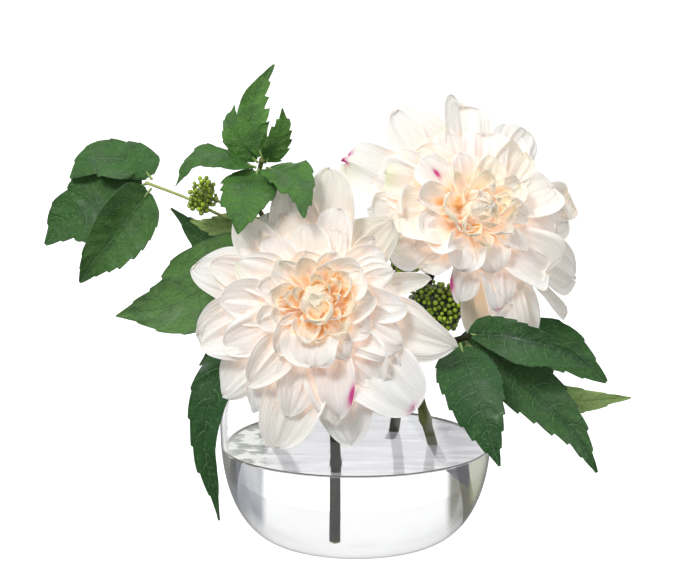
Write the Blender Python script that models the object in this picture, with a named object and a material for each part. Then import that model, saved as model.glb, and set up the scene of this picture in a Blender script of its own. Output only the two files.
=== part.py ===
"""Vase of dahlias: two dahlia heads, two leafy branches and berries standing in a round glass bowl of water.

Metres, +Z up. The origin is the centre of the bowl's foot, and -Y is the front of the arrangement.
"""

import math

import bmesh
import bpy
from mathutils import Vector

GAP = 0.0003            # clearance kept between touching pieces
STEM_ROOM = 1.5 * GAP   # clearance round a stem where it stands in the water
UP = Vector((0, 0, 1))

# Glass bowl and the water in it
BOWL_RADIUS = 0.0763    # widest outer radius
BELLY_HEIGHT = 0.069    # height of the widest ring
BOWL_HEIGHT = 0.107
MOUTH_RADIUS = 0.056    # outer radius at the rim
FOOT_RADIUS = 0.0345    # flat underside
BELLY_POWER = 2.33      # squareness of the lower curve, 2 being an ellipse
WALL = 0.0022
FLOOR = 0.0055          # glass under the water
WATER_LEVEL = 0.055
BOWL_SEGMENTS = 36
BOWL_STEPS = 7          # profile steps of each curved stretch

# Dahlia heads, each measured along its own axis from the back petal layer
HEAD_RADIUS = 0.072     # reach of the back petal layer
LAYER_STEP = 0.0014     # from one layer's hub to the next
PETAL_THICKNESS = 0.0010
HUB_RADIUS = 0.0110     # back layer's hub
HUB_SHRINK = 0.0009     # each next hub is this much smaller
CUP = 0.12              # how far a petal's edges rise, as a share of its half width
CALYX_DEPTH = 0.014
CALYX_RADIUS = 0.0105
CALYX_SHAPE = [(0.0, 1.0), (0.32, 1.0), (0.42, 0.8), (0.84, 0.45), (1.0, 0.0), (0.0, 0.0)]
HEART_HEIGHT = 0.025
HEART_RADIUS = 0.0085
HEART_SHAPE = [(0.0, 0.0), (0.52, 0.0), (0.80, 0.18), (0.98, 0.40), (0.92, 0.62), (0.62, 0.86), (0.30, 0.97),
               (0.0, 1.0)]
HEART_FLUTES = 6
HEART_FLUTE_DEPTH = 0.08

# Back layer first: petals, reach as a share of the head, lift and bend in degrees, turn in petal steps
PETAL_LAYERS = [
    {"petals": 12, "reach": 1.00, "lift": 1, "bend": -4, "turn": 0.00},
    {"petals": 12, "reach": 0.91, "lift": 8, "bend": -6, "turn": 0.50},
    {"petals": 11, "reach": 0.79, "lift": 17, "bend": -6, "turn": 0.25},
    {"petals": 10, "reach": 0.64, "lift": 29, "bend": -6, "turn": 0.60},
    {"petals": 8, "reach": 0.48, "lift": 43, "bend": -4, "turn": 0.10},
    {"petals": 6, "reach": 0.32, "lift": 58, "bend": 0, "turn": 0.55},
]
PETAL_ROWS = 4          # steps from a petal's base to its tip
PETAL_FULLNESS = 0.94   # widest petal as a share of the room between its neighbours
PETAL_SWELL = 1.2       # how soon a petal fills the room it has
PETAL_POINT = 0.3       # how far the tip stands out, as a share of the half width
PETAL_TIP = 0.93        # share of the length where the outline stops narrowing

# Stems: tapered tubes
STEM_SIDES = 8
STEM_STEPS = 2          # tube rings between two route points
KNOB_RINGS = (-55, -20, 20, 55)     # latitudes of a knob's rings, in degrees

# Leaves: thin blades folded along the midrib, on a flat stalk of their own
LEAF_THICKNESS = 0.0009
STALK_HALF_WIDTH = 0.0009
LEAF_ROWS = 8
LEAF_BLADE = 0.12       # where a blade starts on its midrib, unless a leaf has its own


def mm(x, y, z):
    """A place given in millimetres."""
    return Vector((x, y, z)) / 1000


DAHLIAS = {
    "front_dahlia": {
        "seat": mm(-20, -62, 146),
        "faces": Vector((-0.03, -0.955, 0.295)),
        "stem": [mm(-10.5, -52, 19), mm(-10.7, -61, 53), mm(-11, -58, 68), mm(-13, -38, 98), mm(-16, -30, 124)],
        "stem_radius": 0.0031,
    },
    "rear_dahlia": {
        "seat": mm(59, 6, 182),
        "faces": Vector((0.42, -0.81, 0.41)),
        "stem": [mm(20.4, 27.5, 42), mm(22.4, 29.3, 57), mm(29, 32, 97), mm(38, 32, 135), mm(47, 27, 160)],
        "stem_radius": 0.0030,
    },
}

BRANCHES = {
    "left_branch": {
        "route": [mm(50, 4, 16), mm(43.5, 0, 55), mm(36, -3, 79), mm(32, -5, 97), mm(16, 3, 128),
                  mm(-14, 8, 154), mm(-42, -2, 174), mm(-56, -20, 198), mm(-51, -38, 219)],
        "radii": (0.0030, 0.0012),
        "knob": 0.0024,
        "finish": "green_stem",
    },
    "right_branch": {
        "route": [mm(-57, -2, 27), mm(-47.7, 7, 55), mm(-20, 11, 80), mm(5, -3, 98), mm(25, -22, 110),
                  mm(42, -36, 119), mm(58, -43, 125)],
        "radii": (0.0031, 0.0016),
        "knob": 0.0028,
        "finish": "stem",
    },
}

# Thin stalks that carry a group: the branch and the place along it where each starts
STALKS = {
    "far_left_stalk": {
        "branch": "left_branch", "place": 0.80,
        "route": [mm(-71, -14, 186), mm(-90, -12, 196), mm(-112, -9, 204)],
        "radii": (0.0010, 0.0008),
        "knob": 0.0022,
    },
    "left_berry_stalk": {
        "branch": "left_branch", "place": 0.87,
        "route": [mm(-66, -26, 192), mm(-76, -28, 199)],
        "radii": (0.0009, 0.0007),
    },
    "middle_berry_stalk": {
        "branch": "left_branch", "place": 0.55,
        "route": [mm(20, 3, 142), mm(25, -1, 152)],
        "radii": (0.0010, 0.0008),
    },
    "right_berry_stalk": {
        "branch": "right_branch", "place": 0.72,
        "route": [mm(31, -12, 121), mm(40, -7, 131)],
        "radii": (0.0012, 0.0010),
    },
}

# Lumpy berry heads: centre, the half sizes of the head, and how many lumps it has
BERRIES = {
    "left_berries": {
        "stalk": "left_berry_stalk", "centre": mm(-83, -27, 200), "half": mm(8, 6, 12), "lumps": 14,
    },
    "middle_berries": {
        "stalk": "middle_berry_stalk", "centre": mm(26, -2, 156), "half": mm(8, 8, 9), "lumps": 14,
    },
    "right_berries": {
        "stalk": "right_berry_stalk", "centre": mm(45, -5, 138), "half": mm(17, 9, 14), "lumps": 22,
    },
}

# Leaves: what carries each, the midrib's points, the widest half width, the way the face looks, and the fold
LEAVES = {
    "top_leaf_tall": {
        "on": "left_branch",
        "midrib": [mm(-51, -38, 226), mm(-57, -35, 246), mm(-44, -26, 272)],
        "half": 0.0078, "face": Vector((0.2, -1, 0.1)), "fold": 14,
    },
    "top_leaf_left": {
        "on": "left_branch",
        "midrib": [mm(-57, -35, 224), mm(-66, -29, 236), mm(-66, -20, 249)],
        "half": 0.0065, "face": Vector((-0.3, -1, 0.1)), "fold": 16,
    },
    "top_leaf_right": {
        "on": "left_branch",
        "midrib": [mm(-46, -41, 224), mm(-41, -46, 236), mm(-39, -50, 251)],
        "half": 0.0065, "face": Vector((0.4, -1, 0.1)), "fold": 16,
    },
    "top_leaf_bent": {
        "on": "left_branch",
        "midrib": [mm(-58, -41, 219), mm(-70, -46, 224), mm(-84, -50, 225), mm(-96, -53, 210)],
        "half": 0.0085, "face": Vector((-0.1, -0.6, 1)), "fold": 12,
    },
    "top_leaf_lower": {
        "on": "left_branch",
        "midrib": [mm(-54, -44, 214), mm(-58, -60, 204), mm(-62, -78, 186)],
        "half": 0.0155, "face": Vector((-0.1, -1, 0.7)), "fold": 10,
    },
    "top_leaf_low_right": {
        "on": "left_branch",
        "midrib": [mm(-45, -42, 217), mm(-35, -58, 214), mm(-27, -78, 196)],
        "half": 0.0125, "face": Vector((0.4, -1, 0.8)), "fold": 12,
    },
    "far_left_leaf_upper": {
        "on": "far_left_stalk",
        "midrib": [mm(-115, -7, 211), mm(-122, -2, 216), mm(-139, 1, 217), mm(-158, -2, 203)],
        "half": 0.0140, "face": Vector((-0.1, -0.8, 1)), "fold": 10,
    },
    "far_left_leaf_outer": {
        "on": "far_left_stalk",
        "midrib": [mm(-121, -7, 203), mm(-146, -2, 191), mm(-173, 0, 168)],
        "half": 0.0175, "face": Vector((-0.5, -1, 0.4)), "fold": 10,
    },
    "far_left_leaf_inner": {
        "on": "far_left_stalk",
        "midrib": [mm(-115, -14, 199), mm(-128, -20, 184), mm(-152, -23, 152)],
        "half": 0.0130, "face": Vector((0.5, -1, 0.3)), "fold": 14,
    },
    "broad_left_leaf": {
        "on": "left_branch", "place": 0.66,
        "midrib": [mm(-52, -26, 156), mm(-76, -35, 151), mm(-104, -38, 142), mm(-133, -34, 134)],
        "blade": 0.22, "half": 0.0280, "face": Vector((-0.1, -1, 0.25)), "fold": 12,
    },
    "dark_left_leaf": {
        "on": "left_branch", "place": 0.60,
        "midrib": [mm(-44, 10, 158), mm(-71, 10, 164), mm(-103, 12, 188)],
        "blade": 0.30, "half": 0.0130, "face": Vector((-0.3, -1, -0.1)), "fold": 12,
    },
    "pale_left_leaf": {
        "on": "left_branch", "place": 0.75,
        "midrib": [mm(-55, -8, 180), mm(-66, -13, 180), mm(-91, -14, 185)],
        "blade": 0.20, "half": 0.0080, "face": Vector((0, -1, 0.6)), "fold": 12, "finish": "pale_leaf",
    },
    "small_left_leaf": {
        "on": "left_branch", "place": 0.56,
        "midrib": [mm(-20, -2, 144), mm(-52, -22, 131), mm(-74, -32, 121), mm(-84, -36, 106)],
        "blade": 0.50, "half": 0.0080, "face": Vector((-0.3, -1, 0.1)), "fold": 14,
    },
    "hanging_leaf": {
        "on": "left_branch", "place": 0.50,
        "midrib": [mm(-10, 0, 134), mm(-38, -22, 122), mm(-70, -46, 112), mm(-81, -56, 77),
                   mm(-77, -58, 44), mm(-72, -56, 27)],
        "blade": 0.42, "half": 0.0108, "face": Vector((-0.5, -1, 0)), "fold": 16,
    },
    "right_leaf_upper": {
        "on": "right_branch",
        "midrib": [mm(66, -46, 128), mm(91, -56, 126), mm(130, -62, 112)],
        "blade": 0.16, "half": 0.0170, "face": Vector((0.1, -1, 0.5)), "fold": 22,
    },
    "right_leaf_back": {
        "on": "right_branch", "place": 0.80,
        "midrib": [mm(52, -18, 108), mm(76, 2, 110), mm(112, 13, 107), mm(141, 8, 84)],
        "blade": 0.30, "half": 0.0180, "face": Vector((0.2, -1, 0.3)), "fold": 12,
    },
    "right_leaf_front": {
        "on": "right_branch",
        "midrib": [mm(57, -51, 120), mm(61, -67, 111), mm(67, -78, 93), mm(76, -88, 63)],
        "half": 0.0205, "face": Vector((0.1, -1, 0.2)), "fold": 12,
    },
    "right_leaf_low": {
        "on": "right_branch",
        "midrib": [mm(63, -43, 119), mm(81, -50, 107), mm(107, -58, 87), mm(130, -66, 56)],
        "half": 0.0150, "face": Vector((0.3, -1, 0.3)), "fold": 16,
    },
    "right_leaf_pale": {
        "on": "right_branch",
        "midrib": [mm(61, -38, 120), mm(84, -34, 102), mm(110, -30, 88), mm(152, -24, 88)],
        "blade": 0.45, "half": 0.0075, "face": Vector((0, -1, 0.2)), "fold": 14, "finish": "pale_leaf",
    },
    "right_leaf_small": {
        "on": "right_branch", "place": 0.93,
        "midrib": [mm(50, -48, 118), mm(43, -53, 111)],
        "half": 0.0060, "face": Vector((-0.2, -1, 0.2)), "fold": 10,
    },
}

# Colour, roughness, and extra Principled inputs
FINISHES = {
    "glass": ((0.95, 0.97, 0.98, 1), 0.02, {"Transmission Weight": 1.0, "IOR": 1.47, "Alpha": 0.35}),
    "water": ((0.93, 0.97, 0.98, 1), 0.02, {"Transmission Weight": 1.0, "IOR": 1.33, "Alpha": 0.35}),
    "petal": ((0.91, 0.84, 0.76, 1), 0.70, {}),
    "heart": ((0.90, 0.76, 0.45, 1), 0.70, {}),
    "leaf": ((0.06, 0.17, 0.06, 1), 0.50, {}),
    "pale_leaf": ((0.19, 0.32, 0.12, 1), 0.55, {}),
    "stem": ((0.06, 0.08, 0.03, 1), 0.60, {}),
    "green_stem": ((0.13, 0.18, 0.05, 1), 0.60, {}),
    "berry": ((0.16, 0.28, 0.04, 1), 0.35, {}),
}


def clear_scene():
    for item in list(bpy.data.objects):
        bpy.data.objects.remove(item, do_unlink=True)


def finish(name):
    """The material of one finish, made once."""
    if name in bpy.data.materials:
        return bpy.data.materials[name]
    colour, roughness, extra = FINISHES[name]
    material = bpy.data.materials.new(name)
    material.use_nodes = True
    material.diffuse_color = colour
    shader = material.node_tree.nodes["Principled BSDF"]
    shader.inputs["Base Color"].default_value = colour
    shader.inputs["Roughness"].default_value = roughness
    shader.inputs["Metallic"].default_value = 0.0
    for socket, value in extra.items():
        shader.inputs[socket].default_value = value
    return material


def add_solid(name, vertices, faces, finish_name, parent=None):
    """One closed mesh object with its faces turned outwards."""
    mesh = bpy.data.meshes.new(name)
    mesh.from_pydata(vertices, [], faces)
    shape = bmesh.new()
    shape.from_mesh(mesh)
    bmesh.ops.recalc_face_normals(shape, faces=shape.faces)
    shape.to_mesh(mesh)
    shape.free()
    mesh.shade_smooth()
    mesh.set_sharp_from_angle(angle=math.radians(40))
    solid = bpy.data.objects.new(name, mesh)
    solid.data.materials.append(finish(finish_name))
    bpy.context.collection.objects.link(solid)
    solid.parent = parent
    return solid


def add_frame(name, place, faces):
    """An empty whose +Z looks the given way."""
    frame = bpy.data.objects.new(name, None)
    frame.location = place
    frame.rotation_mode = "QUATERNION"
    frame.rotation_quaternion = faces.to_track_quat("Z", "Y")
    bpy.context.collection.objects.link(frame)
    return frame


def cut_away(target, cutter):
    """Leave room in the target for the cutter's shape."""
    cutter.hide_render = True
    cutter.display_type = "WIRE"
    cut = target.modifiers.new("Room for " + cutter.name, "BOOLEAN")
    cut.operation = "DIFFERENCE"
    cut.solver = "EXACT"
    cut.object = cutter


# ---- turned pieces ----

def belly_profile(foot, belly, floor, top, steps=BOWL_STEPS):
    """Radius and height of a bowl's side: a squarish quarter curve, then an ellipse up to the top height."""
    points = []
    for i in range(steps + 1):
        turn = math.pi / 2 * i / steps
        radius = foot + (belly - foot) * math.sin(turn) ** (2 / BELLY_POWER)
        height = BELLY_HEIGHT - (BELLY_HEIGHT - floor) * math.cos(turn) ** (2 / BELLY_POWER)
        points.append((radius, height))
    shoulder = (BOWL_HEIGHT - BELLY_HEIGHT) / math.sqrt(1 - (MOUTH_RADIUS / BOWL_RADIUS) ** 2)
    for i in range(1, steps + 1):
        height = BELLY_HEIGHT + (top - BELLY_HEIGHT) * i / steps
        points.append((belly * math.sqrt(1 - ((height - BELLY_HEIGHT) / shoulder) ** 2), height))
    return points


def turned_solid(name, profile, finish_name, segments=BOWL_SEGMENTS, parent=None, waves=0, depth=0.0):
    """A profile of (radius, height) turned about Z, closed on the axis at both ends, with optional flutes."""
    vertices = [(0, 0, profile[0][1])]
    rings = []
    for radius, height in profile[1:-1]:
        ring = []
        for k in range(segments):
            turn = 2 * math.pi * k / segments
            reach = radius * (1 + depth * math.cos(waves * turn))
            ring.append(len(vertices))
            vertices.append((reach * math.cos(turn), reach * math.sin(turn), height))
        rings.append(ring)
    vertices.append((0, 0, profile[-1][1]))
    faces = []
    for k in range(segments):
        after = (k + 1) % segments
        faces.append((0, rings[0][after], rings[0][k]))
        for low, high in zip(rings, rings[1:]):
            faces.append((low[k], low[after], high[after], high[k]))
        faces.append((rings[-1][k], rings[-1][after], len(vertices) - 1))
    return add_solid(name, vertices, faces, finish_name, parent)


def glass_bowl():
    outer = belly_profile(FOOT_RADIUS, BOWL_RADIUS, 0, BOWL_HEIGHT - WALL / 2)
    inner = belly_profile(FOOT_RADIUS - WALL, BOWL_RADIUS - WALL, FLOOR, BOWL_HEIGHT - WALL / 2)
    lip = ((outer[-1][0] + inner[-1][0]) / 2, BOWL_HEIGHT)
    profile = [(0, 0)] + outer + [lip] + inner[::-1] + [(0, FLOOR)]
    return turned_solid("glass_bowl", profile, "glass")


def water():
    inner = belly_profile(FOOT_RADIUS - WALL - GAP, BOWL_RADIUS - WALL - GAP, FLOOR + GAP, BOWL_HEIGHT)
    below = [point for point in inner if point[1] < WATER_LEVEL - 2 * GAP]
    above = next(point for point in inner if point[1] >= WATER_LEVEL - 2 * GAP)
    share = (WATER_LEVEL - below[-1][1]) / (above[1] - below[-1][1])
    edge = below[-1][0] + (above[0] - below[-1][0]) * share
    profile = [(0, FLOOR + GAP)] + below + [(edge, WATER_LEVEL), (0, WATER_LEVEL)]
    return turned_solid("water", profile, "water")


# ---- tubes ----

def smooth_route(points, steps=STEM_STEPS):
    """Points along a Catmull-Rom curve through the given ones."""
    ends = [2 * points[0] - points[1]] + list(points) + [2 * points[-1] - points[-2]]
    route = []
    for before, start, stop, after in zip(ends, ends[1:], ends[2:], ends[3:]):
        for i in range(steps):
            t = i / steps
            route.append(0.5 * (2 * start + (stop - before) * t
                                + (2 * before - 5 * start + 4 * stop - after) * t ** 2
                                + (3 * start - before - 3 * stop + after) * t ** 3))
    return route + [points[-1].copy()]


def directions(route):
    """The way a route runs at each of its points."""
    last = len(route) - 1
    return [(route[min(i + 1, last)] - route[max(i - 1, 0)]).normalized() for i in range(last + 1)]


def tube(name, points, radii, finish_name, sides=STEM_SIDES, extra=0.0, knob=0.0):
    """A tapered round tube along a smooth route, fatter all over by extra, with a knob at its far end."""
    route = smooth_route(points)
    ways = directions(route)
    ways[0] = (points[1] - points[0]).normalized()
    ways[-1] = (points[-1] - points[-2]).normalized()
    route[0] = route[0] - ways[0] * extra
    route[-1] = route[-1] + ways[-1] * extra
    shares = [i / (len(route) - 1) for i in range(len(route))]
    rings = [(place, way, radii[0] + (radii[1] - radii[0]) * share + extra)
             for place, way, share in zip(route, ways, shares)]
    if knob:
        centre, way, _ = rings.pop()
        for slope in KNOB_RINGS:
            turn = math.radians(slope)
            rings.append((centre + way * knob * math.sin(turn), way, knob * math.cos(turn)))
    across = ways[0].orthogonal().normalized()
    vertices = []
    for place, way, radius in rings:
        across = (across - way * across.dot(way)).normalized()
        beside = way.cross(across)
        for k in range(sides):
            turn = 2 * math.pi * k / sides
            vertices.append(place + radius * (across * math.cos(turn) + beside * math.sin(turn)))
    faces = [tuple(range(sides))[::-1], tuple(range(len(vertices) - sides, len(vertices)))]
    for i in range(len(rings) - 1):
        for k in range(sides):
            a, b = i * sides + k, i * sides + (k + 1) % sides
            faces.append((a, b, b + sides, a + sides))
    return add_solid(name, vertices, faces, finish_name)


def place_on(carrier, share):
    """Centre, direction and radius of a carrier's tube at a share of its route."""
    route = smooth_route(carrier["route"])
    index = round(share * (len(route) - 1))
    radius = carrier["radii"][0] + (carrier["radii"][1] - carrier["radii"][0]) * share
    return route[index], directions(route)[index], radius


def seat_beside(carrier, share, towards, own_radius):
    """Where a side shoot starts: its flat end stands one gap off the carrier's skin."""
    centre, way, radius = place_on(carrier, share)
    aim = (towards - centre).normalized()
    lean = abs(aim.dot(way))
    return centre + aim * ((radius + GAP + own_radius * lean) / math.sqrt(1 - lean ** 2))


def seat_on_knob(carrier, towards):
    """Where a leaf starts on the knob at its carrier's tip: one gap off the knob, on the leaf's own side."""
    centre = carrier["route"][-1]
    return centre + (towards - centre).normalized() * (carrier["knob"] + GAP)


# ---- dahlia heads ----

def petal_half_width(share, base, room):
    """Half width of a petal at a share of its length: widening from its base, rounded at the tip."""
    swell = math.sin(math.pi * min(share, PETAL_TIP) ** 0.85) ** 0.7
    return min(base + (room * PETAL_SWELL - base) * swell, room)


def petal_layer(name, layer, index, parent):
    """One layer: a hub disc with a ring of cupped petals, as one closed sheet."""
    count = layer["petals"]
    hub = HUB_RADIUS - HUB_SHRINK * index
    level = LAYER_STEP * index
    half_pitch = math.pi / count
    run = HEAD_RADIUS * layer["reach"] - hub
    length = run / math.cos(math.radians(layer["lift"] + layer["bend"] / 2))
    tops, unders = [], []

    def add(place, down):
        tops.append(place)
        unders.append(place + down * PETAL_THICKNESS)
        return len(tops) - 1

    centre = add(Vector((0, 0, level)), -UP)
    corners = []
    for k in range(count):
        turn = 2 * math.pi * (k + layer["turn"] - 0.5) / count
        corners.append(add(Vector((hub * math.cos(turn), hub * math.sin(turn), level)), -UP))
    sheets, rim = [], []
    for k in range(count):
        turn = 2 * math.pi * (k + layer["turn"]) / count
        out = Vector((math.cos(turn), math.sin(turn), 0))
        side = Vector((-math.sin(turn), math.cos(turn), 0))
        middle = add(out * hub * math.cos(half_pitch) + UP * level, -UP)
        rows = [(corners[k], middle, corners[(k + 1) % count])]
        place = out * hub * math.cos(half_pitch) + UP * level
        for i in range(1, PETAL_ROWS + 1):
            share = i / PETAL_ROWS
            slope = math.radians(layer["lift"] + layer["bend"] * (share - 0.5 / PETAL_ROWS))
            way = out * math.cos(slope) + UP * math.sin(slope)
            face = UP * math.cos(slope) - out * math.sin(slope)
            place = place + way * length / PETAL_ROWS
            room = PETAL_FULLNESS * place.dot(out) * math.tan(half_pitch)
            half = petal_half_width(share, hub * math.sin(half_pitch), room)
            tip = place + way * (half * PETAL_POINT if i == PETAL_ROWS else 0)
            rise = face * half * CUP * min(1, 2 * share)
            rows.append((add(place - side * half + rise, -face), add(tip, -face),
                         add(place + side * half + rise, -face)))
        sheets += [(centre, corners[k], middle), (centre, middle, corners[(k + 1) % count])]
        for low, high in zip(rows, rows[1:]):
            for a in range(2):
                sheets.append((low[a], high[a], high[a + 1], low[a + 1]))
        rim += [row[0] for row in rows] + [rows[-1][1]] + [row[2] for row in rows[:0:-1]]
    under = len(tops)
    faces = sheets + [tuple(under + v for v in sheet[::-1]) for sheet in sheets]
    for a, b in zip(rim, rim[1:] + rim[:1]):
        faces.append((a, b, under + b, under + a))
    return add_solid(name, tops + unders, faces, "petal", parent)


def calyx(name, parent):
    """The green cup behind the petals, from the stem's end up to the back layer."""
    back = -PETAL_THICKNESS - GAP
    profile = [(radius * CALYX_RADIUS, back - depth * CALYX_DEPTH) for radius, depth in CALYX_SHAPE]
    return turned_solid(name, profile, "pale_leaf", segments=16, parent=parent)


def heart(name, parent):
    """The tight bud of small petals in the middle, fluted like a bud about to open."""
    level = LAYER_STEP * len(PETAL_LAYERS) - PETAL_THICKNESS + GAP
    profile = [(radius * HEART_RADIUS, level + height * HEART_HEIGHT) for radius, height in HEART_SHAPE]
    return turned_solid(name, profile, "heart", segments=3 * HEART_FLUTES, parent=parent,
                        waves=HEART_FLUTES, depth=HEART_FLUTE_DEPTH)


def dahlia(name, plan):
    """Stem, calyx, petal layers and heart of one dahlia. Returns its stem's cutter."""
    head = add_frame(name + "_head", plan["seat"], plan["faces"])
    axis = plan["faces"].normalized()
    stem_end = plan["seat"] - axis * (PETAL_THICKNESS + CALYX_DEPTH + 2 * GAP)
    points = plan["stem"] + [stem_end - axis * 0.004, stem_end]
    radii = (plan["stem_radius"], plan["stem_radius"] * 0.92)
    tube(name + "_stem", points, radii, "stem")
    calyx(name + "_calyx", head)
    for index, layer in enumerate(PETAL_LAYERS):
        petal_layer(f"{name}_petal_layer_{index + 1}", layer, index, head)
    heart(name + "_heart", head)
    return tube(name + "_stem_room", plan["stem"][:3], (radii[0], radii[0]), "stem", extra=STEM_ROOM)


# ---- leaves and berries ----

def leaf_half_width(share, widest):
    """Half width of a blade at a share of its length: fullest before the middle, drawn out at the tip."""
    return max(STALK_HALF_WIDTH * 0.7, widest * math.sin(math.pi * share ** 0.78) ** 0.85)


def leaf(name, plan, start):
    """A blade and its stalk as one thin closed sheet along the midrib."""
    route = smooth_route([start] + plan["midrib"], steps=4)
    lengths = [0.0]
    for a, b in zip(route, route[1:]):
        lengths.append(lengths[-1] + (b - a).length)
    blade = plan.get("blade", LEAF_BLADE)
    shares = [0.0, blade * 0.5] + [blade + (1 - blade) * i / LEAF_ROWS for i in range(LEAF_ROWS + 1)]
    places = []
    for share in shares:
        run = share * lengths[-1]
        i = min(max(k for k, value in enumerate(lengths) if value <= run + 1e-9), len(route) - 2)
        places.append(route[i].lerp(route[i + 1], (run - lengths[i]) / (lengths[i + 1] - lengths[i])))
    ways = directions(places)
    ways[0] = ways[1] = (places[1] - places[0]).normalized()
    fold = math.radians(plan["fold"])
    tops, unders = [], []
    for share, place, way in zip(shares, places, ways):
        side = way.cross(plan["face"]).normalized()
        face = side.cross(way).normalized()
        along = max(0.0, (share - blade) / (1 - blade))
        half = leaf_half_width(along, plan["half"])
        bend = fold if along > 0 else 0
        for sign in (-1, 0, 1):
            point = place + side * half * sign * math.cos(bend) + face * half * abs(sign) * math.sin(bend)
            tops.append(point + face * LEAF_THICKNESS / 2)
            unders.append(point - face * LEAF_THICKNESS / 2)
    under = len(tops)
    rows = len(shares)
    faces = []
    for i in range(rows - 1):
        for a in (0, 1):
            sheet = (3 * i + a, 3 * i + a + 1, 3 * i + a + 4, 3 * i + a + 3)
            faces += [sheet, tuple(under + v for v in sheet[::-1])]
    rim = [3 * i for i in range(rows)] + [3 * rows - 2] + [3 * i + 2 for i in range(rows - 1, -1, -1)] + [1]
    for a, b in zip(rim, rim[1:] + rim[:1]):
        faces.append((a, b, under + b, under + a))
    return add_solid(name, tops + unders, faces, plan.get("finish", "leaf"))


def berry_head(name, plan, stalk_room):
    """A rounded head whose surface swells into lumps, one for each tuft of berries."""
    lumps = []
    for k in range(plan["lumps"]):
        height = 1 - 2 * (k + 0.5) / plan["lumps"]
        turn = k * math.pi * (3 - math.sqrt(5))
        reach = math.sqrt(1 - height ** 2)
        lumps.append(Vector((reach * math.cos(turn), reach * math.sin(turn), height)))
    shape = bmesh.new()
    bmesh.ops.create_icosphere(shape, subdivisions=3, radius=1.0)
    for vertex in shape.verts:
        nearest = max(vertex.co.normalized().dot(lump) for lump in lumps)
        swell = 0.78 + 0.22 * max(0.0, (nearest - 0.8) / 0.2)
        reach = [value * swell * half for value, half in zip(vertex.co, plan["half"])]
        vertex.co = plan["centre"] + Vector(reach)
    vertices = [vertex.co.copy() for vertex in shape.verts]
    faces = [tuple(vertex.index for vertex in face.verts) for face in shape.faces]
    shape.free()
    head = add_solid(name, vertices, faces, "berry")
    cut_away(head, stalk_room)
    return head


def build():
    clear_scene()
    bowl_water = water()
    glass_bowl()
    for name, plan in DAHLIAS.items():
        cut_away(bowl_water, dahlia(name, plan))
    for name, plan in BRANCHES.items():
        tube(name, plan["route"], plan["radii"], plan["finish"], knob=plan["knob"])
        thick = plan["radii"][0]
        room = tube(name + "_room", plan["route"][:3], (thick, thick), "stem", extra=STEM_ROOM)
        cut_away(bowl_water, room)
    carriers = dict(BRANCHES)
    for name, plan in STALKS.items():
        start = seat_beside(BRANCHES[plan["branch"]], plan["place"], plan["route"][0], plan["radii"][0])
        carriers[name] = dict(plan, route=[start] + plan["route"])
        tube(name, carriers[name]["route"], plan["radii"], "green_stem", sides=6, knob=plan.get("knob", 0.0))
    for name, plan in BERRIES.items():
        route = carriers[plan["stalk"]]["route"]
        beyond = route[-1] + (route[-1] - route[-2]).normalized() * GAP
        radius = STALKS[plan["stalk"]]["radii"][0] + GAP
        berry_head(name, plan, tube(name + "_room", route[:-1] + [beyond], (radius, radius), "stem", sides=6))
    for name, plan in LEAVES.items():
        carrier = carriers[plan["on"]]
        first = plan["midrib"][0]
        if "place" in plan:
            start = seat_beside(carrier, plan["place"], first, STALK_HALF_WIDTH)
        else:
            start = seat_on_knob(carrier, first)
        leaf(name, plan, start)


build()
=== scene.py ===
import heapq
import math

import bpy
import numpy as np
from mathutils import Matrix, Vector
from mathutils.bvhtree import BVHTree


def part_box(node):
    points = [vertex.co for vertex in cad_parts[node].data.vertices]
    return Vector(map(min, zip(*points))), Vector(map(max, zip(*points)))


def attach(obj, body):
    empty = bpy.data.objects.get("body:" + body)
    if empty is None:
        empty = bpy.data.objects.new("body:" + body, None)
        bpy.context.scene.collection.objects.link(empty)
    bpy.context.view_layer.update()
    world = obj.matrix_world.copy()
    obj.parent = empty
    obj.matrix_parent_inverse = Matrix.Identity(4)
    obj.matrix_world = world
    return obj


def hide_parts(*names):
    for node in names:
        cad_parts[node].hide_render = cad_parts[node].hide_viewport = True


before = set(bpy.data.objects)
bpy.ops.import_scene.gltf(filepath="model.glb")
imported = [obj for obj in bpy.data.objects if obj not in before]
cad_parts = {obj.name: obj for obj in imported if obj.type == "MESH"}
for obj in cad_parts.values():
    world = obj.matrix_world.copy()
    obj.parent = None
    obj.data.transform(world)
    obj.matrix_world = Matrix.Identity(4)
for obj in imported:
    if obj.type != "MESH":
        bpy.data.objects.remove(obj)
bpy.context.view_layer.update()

print("frame loaded")


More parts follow.
